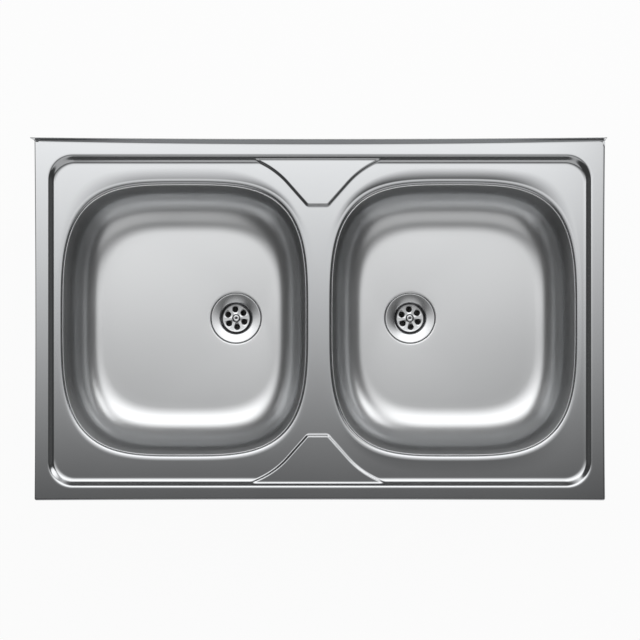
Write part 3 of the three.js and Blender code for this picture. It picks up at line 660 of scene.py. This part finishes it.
def deck_inner_border(verts):
    """The loop of vertices where the columns give way to the flat deck."""
    plain = min(len(rows) for rows in verts)
    border = []
    for i, rows in enumerate(verts):
        crossing = rows[:len(rows) - plain + 1]
        if len(verts[i - 1]) == plain:
            border += reversed(crossing)
        elif len(verts[(i + 1) % len(verts)]) == plain:
            border += crossing
        else:
            border.append(crossing[0])
    return border


def free_run(point, direction, border):
    """How far a ray runs before it meets a closed border."""
    nearest = inf
    for start, end in zip(border, border[1:] + border[:1]):
        edge = end - start
        across = direction.cross(edge)
        if abs(across) < 1e-9:
            continue
        run = (start - point).cross(edge) / across
        along = (start - point).cross(direction) / across
        if run > 0 and 0 <= along <= 1:
            nearest = min(nearest, run)
    return nearest


def land_widths(edge, border):
    """Width of the deck beside each point of a lip, evened out along it."""
    widths = []
    for point, normal in zip(edge, OPENING_NORMALS):
        run = free_run(point, normal, border)
        to_bridge = (BRIDGE_X - point.x) / normal.x if normal.x else -1
        widths.append(min(run, to_bridge) if to_bridge > 0 else run)
    for corner in border:
        gaps = [(corner - point).length for point in edge]
        nearest = gaps.index(min(gaps))
        widths[nearest] = min(widths[nearest], gaps[nearest])
    window = 4
    near = range(-window, window + 1)
    count = len(widths)
    least = [min(widths[(i + k) % count] for k in near) * 0.85 - 0.4 for i in range(count)]
    return [sum(least[(i + k) % count] for k in near) / len(near) for i in range(count)]


def deck_opening(bm, side, border):
    """The deck's fall to a bowl and the rolled edge round it. Returns the outermost loop."""
    drops = land_drops(side)
    edge = [point.xy for point in opening_ring(side, [-lead for lead in LIP_LEADS], drops)]
    reaches = [normal * width for normal, width in zip(OPENING_NORMALS, land_widths(edge, border))]
    loops = []
    for share in (1, 0.9, 0.75, 0.6, 0.45, 0.3, 0.15, 0.05):
        points = [point + reach * share for point, reach in zip(edge, reaches)]
        loops.append([(*point, -drop * (1 - share) ** 2) for point, drop in zip(points, drops)])
    for degrees in range(0, 91, 9):
        across = sin(radians(degrees))
        fall = LIP_FALL * (1 - cos(radians(degrees)))
        insets = [(LIP_INSET + lead) * across - lead for lead in LIP_LEADS]
        loops.append(opening_ring(side, insets, [-drop - fall for drop in drops]))
    for inset, z in ((0, -3.4), (0, -8.6), (0.4, -9.5), (1.2, LIP_BOTTOM)):
        loops.append(opening_ring(side, [LIP_INSET + inset] * BOWL_POINTS, [z - drop for drop in drops]))
    return lay_loops(bm, loops)


def fill_flat(bm, loops):
    """Fills the flat deck between its border and the openings."""
    edges = []
    for loop in loops:
        for here, there in zip(loop, loop[1:] + loop[:1]):
            edges.append(bm.edges.get((here, there)) or bm.edges.new((here, there)))
    bmesh.ops.triangle_fill(bm, edges=edges, use_beauty=True, use_dissolve=False)


def deck_skirt(bm, columns, verts):
    """The edge turned down at the front and sides."""
    turned = [(column, rows) for column, rows in zip(columns, verts) if column["skirt"]]
    lay_strips(bm, [[rows[-1], *ring_verts(bm, skirt_rows(column))] for column, rows in turned])


def deck_upstand(bm, columns, verts):
    """The edge turned up along the back, with its ends standing past the rim."""
    feet = [rows[-1] for column, rows in zip(columns, verts) if column["upstand"]]
    feet.sort(key=lambda vert: vert.co.x)
    strips = [[foot, *ring_verts(bm, upstand_rows(foot.co.x / MM))] for foot in feet]
    left_ear = ring_verts(bm, upstand_rows(-RIM_HALF_X, -UPSTAND_LEFT_EAR))
    right_ear = ring_verts(bm, upstand_rows(RIM_HALF_X, UPSTAND_RIGHT_EAR))
    lay_strips(bm, [left_ear, *strips, right_ear])


def make_deck():
    bm = bmesh.new()
    columns = deck_columns()
    verts = [ring_verts(bm, column["rows"]) for column in columns]
    lay_strips(bm, [*verts, verts[0]])
    border = deck_inner_border(verts)
    outline = [vert.co.xy / MM for vert in border]
    openings = [deck_opening(bm, side, outline) for side in BOWL_CENTRES]
    fill_flat(bm, [border, *openings])
    deck_skirt(bm, columns, verts)
    deck_upstand(bm, columns, verts)
    finish_pressing(bm, "deck_sheet", "deck_steel", "deck", 40)


# ---- bowls

def bowl_sections(side):
    """The bowl's inner surface from its top edge to the waste hole, as loops of points."""
    drain = DRAIN_CENTRES[side]
    draft = (BOWL_EDGE_Z - BLEND_TOP_Z) * tan(WALL_DRAFT)
    drops = land_drops(side)
    loops = []

    def add(inset_x, inset_y, z, fall=0):
        """A loop inside the bowl's edge, lowered by a share of the deck's drop."""
        size = (BOWL_EDGE_HALF_X - inset_x, BOWL_EDGE_HALF_Y - inset_y)
        loop = squircle(BOWL_CENTRES[side], *size, SQUARENESS, z)
        loops.append([(x, y, z - drop * fall) for (x, y, z), drop in zip(loop, drops)])

    for outset, lift in ((1.1, 1.5), (0.25, 1.5), (0.06, 1.3), (0, 0.5)):
        add(-outset, -outset, BOWL_EDGE_Z + lift, 1)
    for share in (0, 0.02, 0.25, 0.5, 0.75, 0.95):
        z = BOWL_EDGE_Z + (BLEND_TOP_Z - BOWL_EDGE_Z) * share
        add(draft * share, draft * share, z, (1 - share) ** 2)
    for tilt in spread(0, pi / 2, BLEND_STEPS + 1):
        drawn_in = 1 - cos(tilt)
        z = BLEND_TOP_Z - (BLEND_TOP_Z - FLOOR_EDGE_Z) * sin(tilt)
        add(draft + BLEND_WIDTH_X * drawn_in, draft + BLEND_WIDTH_Y * drawn_in, z)
    floor_edge = loops[-1]
    rim = squircle(drain, RECESS_RADIUS + 1.5, RECESS_RADIUS + 1.5, 2, FLOOR_DRAIN_Z)
    for share in (0.08, 0.3, 0.6, 0.9):
        loops.append([tuple(Vector(a).lerp(Vector(b), share)) for a, b in zip(floor_edge, rim)])
    recess = [(RECESS_RADIUS + 1.5, FLOOR_DRAIN_Z), (RECESS_RADIUS, FLOOR_DRAIN_Z - 0.04), *RECESS_WALL]
    recess += [(radius, seat_height(radius)) for radius in (36.1, 34.5)] + [SEAT_HOLE]
    return loops + [squircle(drain, radius, radius, 2, z) for radius, z in recess]


def make_bowl(side):
    bm = bmesh.new()
    lay_loops(bm, bowl_sections(side))
    finish_pressing(bm, f"{side}_bowl_shell", "bowl_steel", f"{side}_bowl", 60)


# ---- turned pieces

def spun(name, slot, profile, steps=SPIN_STEPS):
    """Spins a profile of radii and heights, and closes it if it is off the axis."""
    piece = new_piece(name, slot)
    points = [(radius * MM, 0, z * MM) for radius, z in profile]
    edges = [(i, i + 1) for i in range(len(points) - 1)]
    if points[0][0]:
        edges.append((len(points) - 1, 0))
    piece.data.from_pydata(points, edges, [])
    only(piece)
    bpy.ops.object.mode_set(mode="EDIT")
    bpy.ops.mesh.select_all(action="SELECT")
    bpy.ops.mesh.spin(steps=steps, angle=2 * pi, center=(0, 0, 0), axis=(0, 0, 1))
    bpy.ops.mesh.select_all(action="SELECT")
    bpy.ops.mesh.remove_doubles(threshold=1e-6)
    bpy.ops.mesh.normals_make_consistent(inside=False)
    bpy.ops.object.mode_set(mode="OBJECT")
    smooth(piece)
    return piece


def seat_height(radius):
    fall = (SEAT_OUTER[1] - SEAT_HOLE[1]) / (SEAT_OUTER[0] - SEAT_HOLE[0])
    return SEAT_OUTER[1] - fall * (SEAT_OUTER[0] - radius)


def combine(piece, others, operation="DIFFERENCE"):
    """Cuts other meshes out of a piece, or joins or intersects them."""
    for other in others:
        apply_modifier(piece, "BOOLEAN", operation=operation, object=other, solver="EXACT")
        bpy.data.objects.remove(other)


def primitive(add, middle, turn, **settings):
    """Adds a primitive on its own, with its middle in millimetres."""
    bpy.ops.object.select_all(action="DESELECT")
    add(location=Vector(middle) * MM, rotation=turn, **settings)
    return bpy.context.active_object


def cylinder(radius, length, middle, turn=(0, 0, 0), sides=32):
    add = bpy.ops.mesh.primitive_cylinder_add
    return primitive(add, middle, turn, vertices=sides, radius=radius * MM, depth=length * MM)


def block(lengths, middle, turn):
    box = primitive(bpy.ops.mesh.primitive_cube_add, middle, turn, size=1)
    box.scale = Vector(lengths) * MM
    return box


def around(radius, angle, z):
    return (radius * cos(angle), radius * sin(angle), z)


def bevel_sharp(piece, width, segments=2, degrees=40):
    limit = {"limit_method": "ANGLE", "angle_limit": radians(degrees)}
    apply_modifier(piece, "BEVEL", width=width * MM, segments=segments, **limit)


def shifted(points, radius, z):
    """A profile's points, given from a place on it."""
    return [(radius + across, z + up) for across, up in points]


def flange_height(radius):
    """Top of the strainer's dished flange, which steepens towards its cup."""
    inwards = STRAINER_RADIUS - radius
    return FLANGE_EDGE_Z - 0.16 * inwards - 0.004 * inwards ** 2


def make_strainer(side):
    """A dished flange, a tapered cup and a disc with a ring of holes and one for the screw."""
    sheet = STRAINER_SHEET
    outer, cup, floor, disc = STRAINER_RADIUS, STRAINER_CUP_RADIUS, STRAINER_DISC_RADIUS, STRAINER_DISC_Z
    shoulder = flange_height(cup + 1.3)
    foot = [(-0.4, 0), (0.3, 0.1), (1, 0.4), (1.7, 0.95), (2.3, 1.7), (2.8, 2.7), (3.2, 4), (3.6, 5.6)]
    profile = [(SCREW_HOLE_RADIUS, disc), *shifted(foot, floor, disc)]
    profile += shifted([(-0.3, -1.3), (0, -0.7), (0.5, -0.25), (1.3, 0)], cup, shoulder)
    profile += [(radius, flange_height(radius)) for radius in spread(cup + 2, outer - 0.7, 9)]
    profile += arc((outer - 0.35, FLANGE_EDGE_Z - 0.45), 0.35, 80, -80, 6)
    profile += [(radius, flange_height(radius) - sheet - 0.05) for radius in spread(outer - 1, cup + 2, 6)]
    profile += [(cup + sheet, shoulder - 1.9), *shifted([(4.2, 3), (2.7, 0), (0.5, -sheet)], floor, disc)]
    profile += [(SCREW_HOLE_RADIUS, disc - sheet)]
    piece = spun(f"{side}_strainer", "strainer_steel", profile)
    for hole in range(STRAINER_HOLES):
        angle = STRAINER_FIRST_HOLE + 2 * pi * hole / STRAINER_HOLES
        combine(piece, [cylinder(STRAINER_HOLE_RADIUS, 8, around(STRAINER_HOLE_CIRCLE, angle, disc))])
    bevel_sharp(piece, 0.12, degrees=60)
    finish_piece(piece, f"{side}_strainer_flange", DRAIN_CENTRES[side])


def make_strainer_screw(side):
    """A domed head with a raised ring and a dimple, on a threaded shank."""
    seat = STRAINER_DISC_Z + 0.3
    head = [(0, 0.3), (1, 0.45), (1.5, 1.2), (1.8, 2.1), (2.3, 2.35), (3.4, 2.35), (4.3, 2.2), (4.7, 1.9)]
    head += [(5, 1.4), (5.5, 0.6), (5.9, 0.25), (6, 0), (SCREW_RADIUS, 0)]
    profile = shifted(head, 0, seat) + thread_profile(SCREW_RADIUS, seat - 1, seat - 26.5, *SCREW_THREAD)
    profile += [(SCREW_RADIUS - 1, seat - 28), (0, seat - 28)]
    piece = spun(f"{side}_screw", "strainer_steel", profile, steps=48)
    piece.data.materials[0] = FINISHES["screw_steel"]
    finish_piece(piece, f"{side}_strainer_screw", DRAIN_CENTRES[side])


def thread_profile(radius, top, bottom, pitch, depth):
    """Ridges and grooves down a shank."""
    turn = [(0, 0), (0, -pitch * 0.2), (-depth, -pitch * 0.5), (0, -pitch * 0.85)]
    points = []
    while top - pitch > bottom:
        points += shifted(turn, radius, top)
        top -= pitch
    return [*points, (radius, bottom)]


def make_seals(side):
    """The thin ring above the bowl's seat and the tapered one below it."""
    inner = SEAT_HOLE[0] + 1
    outer = STRAINER_RADIUS - 1.3
    upper = seat_height(outer) + SEAL_LIFT
    profile = [(inner, seat_height(inner) + SEAL_LIFT), (outer, upper)]
    profile += arc((outer, upper + 0.6), 0.6, -60, 80, 5)
    profile += [(inner, seat_height(inner) + SEAL_LIFT + 1.2)]
    ring = spun(f"{side}_flange_ring", "black_rubber", profile, steps=SEAL_STEPS)
    finish_piece(ring, f"{side}_flange_seal", DRAIN_CENTRES[side])

    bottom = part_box(f"{side}_lower_seal")[0].z / MM
    outer = SEAT_OUTER[0] - 1
    clearance = 1.2 * SHEET + SEAL_LIFT
    profile = [(inner, bottom), (outer - 2, bottom), *arc((outer - 1, bottom + 1), 1, -80, 0, 4)]
    profile += shifted([(0, -0.7), (-0.7, 0), (0, 0.7)], outer, bottom + 3)
    profile += [(outer, seat_height(outer) - clearance - 0.6)]
    profile += [(radius, seat_height(radius) - clearance) for radius in (outer - 0.7, inner)]
    ring = spun(f"{side}_taper_ring", "black_rubber", profile, steps=SEAL_STEPS)
    finish_piece(ring, f"{side}_lower_seal", DRAIN_CENTRES[side])


def make_waste(side):
    """The moulded funnel with a threaded neck, an inner hub and three ribs."""
    shoulder = WASTE_NECK + 6
    profile = shifted([(0, -0.6), (0.6, 0)], WASTE_MOUTH_RADIUS, WASTE_TOP)
    profile += shifted([(-0.8, 0), (0, -0.8), (0, -2.7), (-0.8, -3.5)], WASTE_FLANGE_RADIUS, WASTE_TOP)
    profile += shifted([(1, -3.5), (0, -4.5)], WASTE_FUNNEL_RADIUS, WASTE_TOP)
    profile += shifted([(-1.4, 0.4), (-2, -0.6)], WASTE_FUNNEL_RADIUS, shoulder)
    profile += shifted([(1, 0), (-1.3, -0.6)], WASTE_THREAD_RADIUS, WASTE_NECK)
    profile += thread_profile(WASTE_THREAD_RADIUS, WASTE_NECK - 2, WASTE_BOTTOM + 1.6, *WASTE_THREAD)
    profile += [(WASTE_THREAD_RADIUS - 1, WASTE_BOTTOM), (WASTE_BORE_RADIUS + 0.5, WASTE_BOTTOM)]
    profile += [(WASTE_BORE_RADIUS, WASTE_BOTTOM + 0.5), (WASTE_BORE_RADIUS, WASTE_NECK)]
    profile += [(WASTE_MOUTH_RADIUS + 2, shoulder + 2)]
    piece = spun(f"{side}_waste", "black_plastic", profile)
    add_ribs_and_hub(piece)
    finish_piece(piece, f"{side}_waste_body", DRAIN_CENTRES[side])


def add_ribs_and_hub(piece):
    """The hub, with a pocket for the nut and a bore for the screw, and its ribs."""
    height = HUB_TOP - WASTE_NECK
    middle = (HUB_TOP + WASTE_NECK) / 2
    hub = cylinder(HUB_RADIUS, height, (0, 0, middle), sides=48)
    angles = [radians(degrees) for degrees in (90, 210, 330)]
    ribs = [block(RIB_SIZE, around(RIB_MIDDLE, angle, middle + 1), (0, 0, angle)) for angle in angles]
    combine(piece, [hub, *ribs], "UNION")
    pocket_radius = NUT_CORNER_RADIUS + NUT_CLEARANCE
    pocket = cylinder(pocket_radius, 2 * NUT_POCKET_DEPTH, (0, 0, HUB_TOP), HEXAGON_TURN, 6)
    combine(piece, [pocket, cylinder(SCREW_HOLE_RADIUS, 2 * height, (0, 0, middle))])


def make_nut(side):
    """A hexagon with chamfered corners and a plain bore through it."""
    bottom, top = (corner.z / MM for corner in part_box(f"{side}_insert_nut"))
    middle = (0, 0, (top + bottom) / 2)
    nut = cylinder(NUT_CORNER_RADIUS, top - bottom, middle, HEXAGON_TURN, 6)
    nut.name = f"{side}_brass_nut"
    nut.data.materials.append(FINISHES["nut_brass"])
    profile = [(0, top + 1), (4.2, top + 1), (4.2, top + 0.35), (7, top - 1.2), (7, bottom + 1.2)]
    profile += [(4.2, bottom - 0.35), (4.2, bottom - 1), (0, bottom - 1)]
    combine(nut, [spun("nut_chamfer", "nut_brass", profile, steps=48)], "INTERSECT")
    combine(nut, [cylinder(NUT_BORE_RADIUS, top - bottom + 4, middle)])
    finish_piece(nut, f"{side}_insert_nut", DRAIN_CENTRES[side])


# ---- shaders

class Value:
    """A socket that can be used in sums."""

    def __init__(self, shader, socket):
        self.shader = shader
        self.socket = socket

    def __add__(self, other):
        return self.shader.sum("ADD", self, other)

    def __sub__(self, other):
        return self.shader.sum("SUBTRACT", self, other)

    def __rsub__(self, other):
        return self.shader.sum("SUBTRACT", other, self)

    def __mul__(self, other):
        return self.shader.sum("MULTIPLY", self, other)

    __radd__ = __add__
    __rmul__ = __mul__


class Shader:
    """A material or world whose nodes are written as expressions."""

    def __init__(self, owner):
        owner.use_nodes = True
        self.tree = owner.node_tree
        self.tree.nodes.clear()

    def node(self, kind, inputs=None, settings=None, output=0):
        """Adds a node with its settings and inputs, and gives one of its outputs."""
        node = self.tree.nodes.new(f"ShaderNode{kind}")
        for name, value in (settings or {}).items():
            setattr(node, name, value)
        for name, value in (inputs or {}).items():
            if isinstance(value, Value):
                self.tree.links.new(value.socket, node.inputs[name])
            else:
                node.inputs[name].default_value = value
        return Value(self, node.outputs[output] if node.outputs else None)

    def sum(self, operation, first, second):
        return self.node("Math", {0: first, 1: second}, {"operation": operation})

    def colour_between(self, share, first, second):
        first, second = (colour if isinstance(colour, Value) else (*colour, 1) for colour in (first, second))
        return self.node("Mix", {"Factor": share, 6: first, 7: second}, {"data_type": "RGBA"}, output=2)

    def place(self, stretch=EVEN):
        """Object coordinates, stretched for grain that has a direction."""
        place = self.node("TexCoord", output=3)
        return self.node("Mapping", {"Vector": place, "Scale": stretch})

    def noise(self, place, scale, detail, roughness=0.5):
        inputs = {"Vector": place, "Scale": scale, "Detail": detail, "Roughness": roughness}
        return self.node("TexNoise", inputs)

    def bump(self, height, distance, strength=1.0):
        return self.node("Bump", {"Height": height, "Distance": distance, "Strength": strength})

    def principled(self, **inputs):
        return self.node("BsdfPrincipled", {name.replace("_", " "): value for name, value in inputs.items()})

    def glow(self, strength):
        return self.node("Emission", {"Color": WHITE, "Strength": strength})

    def blend(self, share, first, second):
        return self.node("MixShader", {0: share, 1: first, 2: second})


FINISHES = {}  # the materials by name


def material(name, surface, *traits):
    """A material whose surface a function makes from its traits."""
    made = bpy.data.materials.new(name)
    shader = Shader(made)
    shader.node("OutputMaterial", {"Surface": surface(shader, *traits)})
    FINISHES[name] = made
    return made


def fade(along, place, edge, before, after):
    """Goes from one value to another over an edge's width round a place."""
    limits = {"Value": along, "From Min": place - edge / 2, "From Max": place + edge / 2}
    settings = {"interpolation_type": "SMOOTHSTEP"}
    return along.shader.node("MapRange", {**limits, "To Min": before, "To Max": after}, settings)


def band_between(along, start, start_edge, end, end_edge):
    """1 between two places, fading to 0 over an edge's width at each."""
    return fade(along, start, start_edge, 0.0, 1.0) * fade(along, end, end_edge, 1.0, 0.0)


def steel(shader, light, dark, roughness, grain_scale, grain_depth, wave_depth, painted_shade=None):
    """Fine grain, faint clouding, slight waves, a band of painted shade where there is one, and a dull
    underside.
    """
    grain = shader.noise(shader.place(grain_scale), 1, detail=3, roughness=0.6)
    place = shader.place()
    cloud = shader.noise(place, 9, detail=3)
    wave = shader.noise(place, 7, detail=0)
    colour = shader.colour_between(cloud, dark, light)
    glance = WHITE
    # painted shade: a band of heights gets a darker colour and weaker glancing reflections
    if painted_shade:
        height = shader.node("SeparateXYZ", {0: place}, output=2)
        low, low_edge, high, shade_colour, shade_glance = painted_shade
        band = band_between(height, low, low_edge, high, PAINTED_SHADE_TOP_EDGE)
        colour = shader.colour_between(band, colour, shade_colour)
        glance = shader.colour_between(band, WHITE[:3], (shade_glance,) * 3)
    underside = shader.node("Attribute", settings={"attribute_name": "underside"}, output=2)
    return shader.principled(
        Base_Color=shader.colour_between(underside, colour, UNDERSIDE_COLOUR),
        Metallic=1 - 0.4 * underside,
        Specular_Tint=glance,
        Roughness=(cloud + grain - 1) * 0.05 + roughness + underside * 0.15,
        Normal=shader.bump(wave * wave_depth + grain * grain_depth, 0.001),
    )


def patched(shader, colours, metallic, patches, grain, roughness, relief):
    """Patches of two colours and a fine grain."""
    patches, grain = (shader.noise(shader.place(noise[0]), *noise[1:]) for noise in (patches, grain))
    return shader.principled(
        Base_Color=shader.colour_between(patches, *colours),
        Metallic=metallic,
        Roughness=roughness[0] + roughness[1] * patches + roughness[2] * grain,
        Normal=shader.bump(relief[0] * patches + relief[1] * grain, *relief[2:]),
    )


def bitumen(shader):
    """A dark sheet with an embossed lattice of small squares."""
    place = shader.place()
    lattice = {"Vector": place, "Scale": 160.0, "Randomness": 0.0}
    cells = shader.node("TexVoronoi", lattice, {"feature": "DISTANCE_TO_EDGE"})
    raised = shader.node("Math", {0: cells * 4, 1: 0.5, 2: 0.3}, {"operation": "SMOOTH_MIN"})
    grain = shader.noise(place, 1200, detail=3)
    return shader.principled(
        Base_Color=shader.colour_between(grain, (0.025, 0.025, 0.026), (0.06, 0.06, 0.062)),
        Roughness=0.62 + 0.25 * grain,
        Normal=shader.bump(raised + grain * 0.15, 0.0005, 0.7),
    )


# ---- pads, brackets and their screws

def sheet_from(name, slot, points, faces, thickness):
    """A sheet of even thickness with softened edges, from points on its outer side."""
    sheet = new_piece(name, slot)
    sheet.data.from_pydata([Vector(point) * MM for point in points], [], faces)
    thicken(sheet, thickness)
    bevel_sharp(sheet, 0.4, segments=3)
    return sheet


def make_pad(side):
    """A bitumen sheet with rounded corners, which follows the floor's fall to the drain."""
    radius = PAD_CORNER_RADIUS
    points = []
    for quarter, (sign_x, sign_y) in enumerate(CORNERS):
        corner = (sign_x * (PAD_HALF_X - radius), sign_y * (PAD_HALF_Y - radius))
        outline = arc(corner, radius, 90 * quarter, 90 * quarter + 90, 8)
        points += [(x, y, PAD_THICKNESS / 2) for x, y in outline]
    face = range(len(points))
    pad = sheet_from(f"{side}_damping_pad", "sound_pad", points, [face], PAD_THICKNESS)
    low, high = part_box(f"{side}_sound_pad")
    fall = atan((FLOOR_EDGE_Z - FLOOR_DRAIN_Z) / PAD_FALL_RUN)
    pad.rotation_euler.y = copysign(fall, -low.x)
    pad.location = (low + high) / 2
    finish_piece(pad, f"{side}_sound_pad")


def make_bracket(end, side):
    """A folded strip: a tongue over the flange and a leg with a slanted slot."""
    node = f"bracket_{end}_{side}"
    low, high = (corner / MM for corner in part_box(node))
    outwards = 1 if side == "right" else -1
    leg, tip = (low.x, high.x) if outwards > 0 else (high.x, low.x)
    ends = (high.y, low.y) if outwards > 0 else (low.y, high.y)
    points = [(x, y, z) for x, z in ((leg, low.z), (leg, high.z), (tip, high.z)) for y in ends]
    faces = [(0, 1, 3, 2), (2, 3, 5, 4)]
    strip = sheet_from(f"fixing_{node}", "zinc_steel", points, faces, BRACKET_SHEET)

    middle = Vector((leg, (low.y + high.y) / 2, (low.z + high.z) / 2))
    slant = BRACKET_SLOT_SLANT * outwards
    reach = Vector((0, cos(slant), sin(slant))) * BRACKET_SLOT_RUN / 2
    width, depth = BRACKET_SLOT_WIDTH, 5 * BRACKET_SHEET
    slot = [cylinder(width / 2, depth, middle + reach * sign, (0, pi / 2, 0)) for sign in (-1, 1)]
    combine(strip, [*slot, block((depth, BRACKET_SLOT_RUN, width), middle, (slant, 0, 0))])
    finish_piece(strip, node)


def make_bracket_screw(end, side):
    """A pan-head screw with a cross recess, a thread and a point, lying along X."""
    node = f"bracket_screw_{end}_{side}"
    low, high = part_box(node)
    outwards = 1 if side == "right" else -1
    profile = [(0, -2), (1.4, -2), (2.6, -1.75), (3.35, -1.15), (3.6, -0.5), (3.5, 0), (1.5, 0), (1.3, 0.8)]
    at = 1.2
    while at < 11.5:
        profile += [(1.15, at), (1.75, at + 0.55), (1.15, at + 1.1)]
        at += 1.3
    profile += [(1.1, 12.6), (0.5, 14), (0, 15)]
    screw = spun(f"fixing_{node}", "zinc_steel", profile, steps=32)
    for turn in (0, pi / 2):
        combine(screw, [block(RECESS_BLADE, (0, 0, -1.7), (0, 0, turn))])
    screw.location = (low + high) / 2
    screw.location.x = (low if outwards > 0 else high).x + outwards * 2 * MM
    screw.rotation_euler = (pi / 2, 0, outwards * pi / 2)
    finish_piece(screw, node)


# ---- studio

def square(reach):
    return [(-reach, -reach), (reach, -reach), (reach, reach), (-reach, reach)]


def studio_plane(name, corners, surface, *traits):
    """A plane of the studio, which isn't part of the sink."""
    mesh = bpy.data.meshes.new(name)
    mesh.from_pydata(corners, [], [(0, 1, 2, 3)])
    mesh.materials.append(material(f"{name}_finish", surface, *traits))
    plane = linked(name, mesh)
    return plane


def hide_light(plane):
    """Keeps a lit plane out of the picture, but not out of reflections."""
    plane.visible_camera = False
    plane.visible_shadow = False


def seen_as_background(shader):
    """1 for rays that should meet the white background, 0 for light on the object."""
    names = ("Is Camera Ray", "Is Glossy Ray", "Is Transmission Ray")
    camera, glossy, through = (shader.node("LightPath", output=name) for name in names)
    return shader.sum("MAXIMUM", shader.sum("MAXIMUM", camera, glossy), through)


def paper(shader, floor_z):
    """White, clear from below, and darker under the sink and inside the waste necks."""
    share = seen_as_background(shader) * 0.95
    place = shader.node("TexCoord", output=3)
    for drain in DRAIN_CENTRES.values():
        ends = {0: place, 1: (*(drain * MM), floor_z)}
        away = shader.node("VectorMath", ends, {"operation": "DISTANCE"}, output=1)
        share = share * shader.sum("GREATER_THAN", away, NECK_SHADE_RADIUS)
    shaded = shader.node("BsdfDiffuse", {"Color": (0.82, 0.82, 0.82, 1)})
    below = shader.node("NewGeometry", output="Backfacing")
    return shader.blend(below, shader.blend(share, shaded, shader.glow(1.0)), shader.node("BsdfTransparent"))


def softboxes(shader):
    """A wide light behind the sink, a dim one before it and one at the back right."""
    place = shader.node("TexCoord", output=3)
    x, y = (shader.node("SeparateXYZ", {0: place}, output=axis) for axis in (0, 1))
    level = CEILING_LEVEL
    for (x0, x1, x_edge), (y0, y1, y_edge), strength in SOFTBOXES:
        across = band_between(x, x0, x_edge, x1, x_edge)
        level = across * band_between(y, y0, y_edge, y1, y_edge) * strength + level
    return shader.glow(level)


def make_planes():
    """The floor, the lit ceiling, and pale cloths that the sheet's steep parts mirror."""
    floor_z = CAD_BOX[0][2] - FLOOR_GAP
    studio_plane("studio_floor", [(x, y, floor_z) for x, y in square(FLOOR_REACH)], paper, floor_z)
    low, high = WALL_BOTTOM, CEILING_HEIGHT
    feet = square(STUDIO_REACH)
    hide_light(studio_plane("studio_ceiling", [(x, y, high) for x, y in feet], softboxes))
    for (name, strength), (x0, y0), (x1, y1) in zip(WALL_STRENGTHS.items(), feet, feet[1:] + feet[:1]):
        corners = [(x0, y0, low), (x1, y1, low), (x1, y1, high), (x0, y0, high)]
        hide_light(studio_plane(f"studio_wall_{name}", corners, Shader.glow, strength))


def make_world():
    """Dim light all round, before a background that is seen as white."""
    world = bpy.data.worlds.new("studio_world")
    bpy.context.scene.world = world
    shader = Shader(world)
    strengths = (WORLD_STRENGTH, 1.0)
    lit, white = (shader.node("Background", {"Color": WHITE, "Strength": strength}) for strength in strengths)
    shader.node("OutputWorld", {"Surface": shader.blend(seen_as_background(shader), lit, white)})


def make_camera():
    """Looks straight down from where the photograph was taken."""
    view = bpy.data.cameras.new("camera")
    camera = linked("camera", view)
    camera.location = Vector((*PHOTO_CENTRE, RIM_HEIGHT + CAMERA_HEIGHT)) * MM
    view_width = PHOTO_PIXELS / PIXELS_PER_MM
    view.sensor_width = 36
    view.lens = view.sensor_width * CAMERA_HEIGHT / view_width
    view.clip_end = 100
    bpy.context.scene.camera = camera


# ---- scene

make_camera()
make_world()
make_planes()
bpy.context.scene.view_settings.view_transform = "Standard"

material("deck_steel", steel, *DECK_FINISH)
# the bowl, strainer and screw steels carry bands of painted shade
material("bowl_steel", steel, *BOWL_FINISH, BOWL_PAINTED_SHADE)
material("strainer_steel", steel, *TURNED_FINISH, STRAINER_PAINTED_SHADE)
material("screw_steel", steel, *TURNED_FINISH, SCREW_PAINTED_SHADE)
material("black_rubber", patched, *RUBBER_FINISH)
material("black_plastic", patched, *PLASTIC_FINISH)
material("nut_brass", patched, *BRASS_FINISH)
material("sound_pad", bitumen)
material("zinc_steel", patched, *ZINC_FINISH)

make_deck()
for side in BOWL_CENTRES:
    for make in (make_bowl, make_strainer, make_strainer_screw, make_seals, make_waste, make_nut, make_pad):
        make(side)
    for end in ("front", "back"):
        make_bracket(end, side)
        make_bracket_screw(end, side)
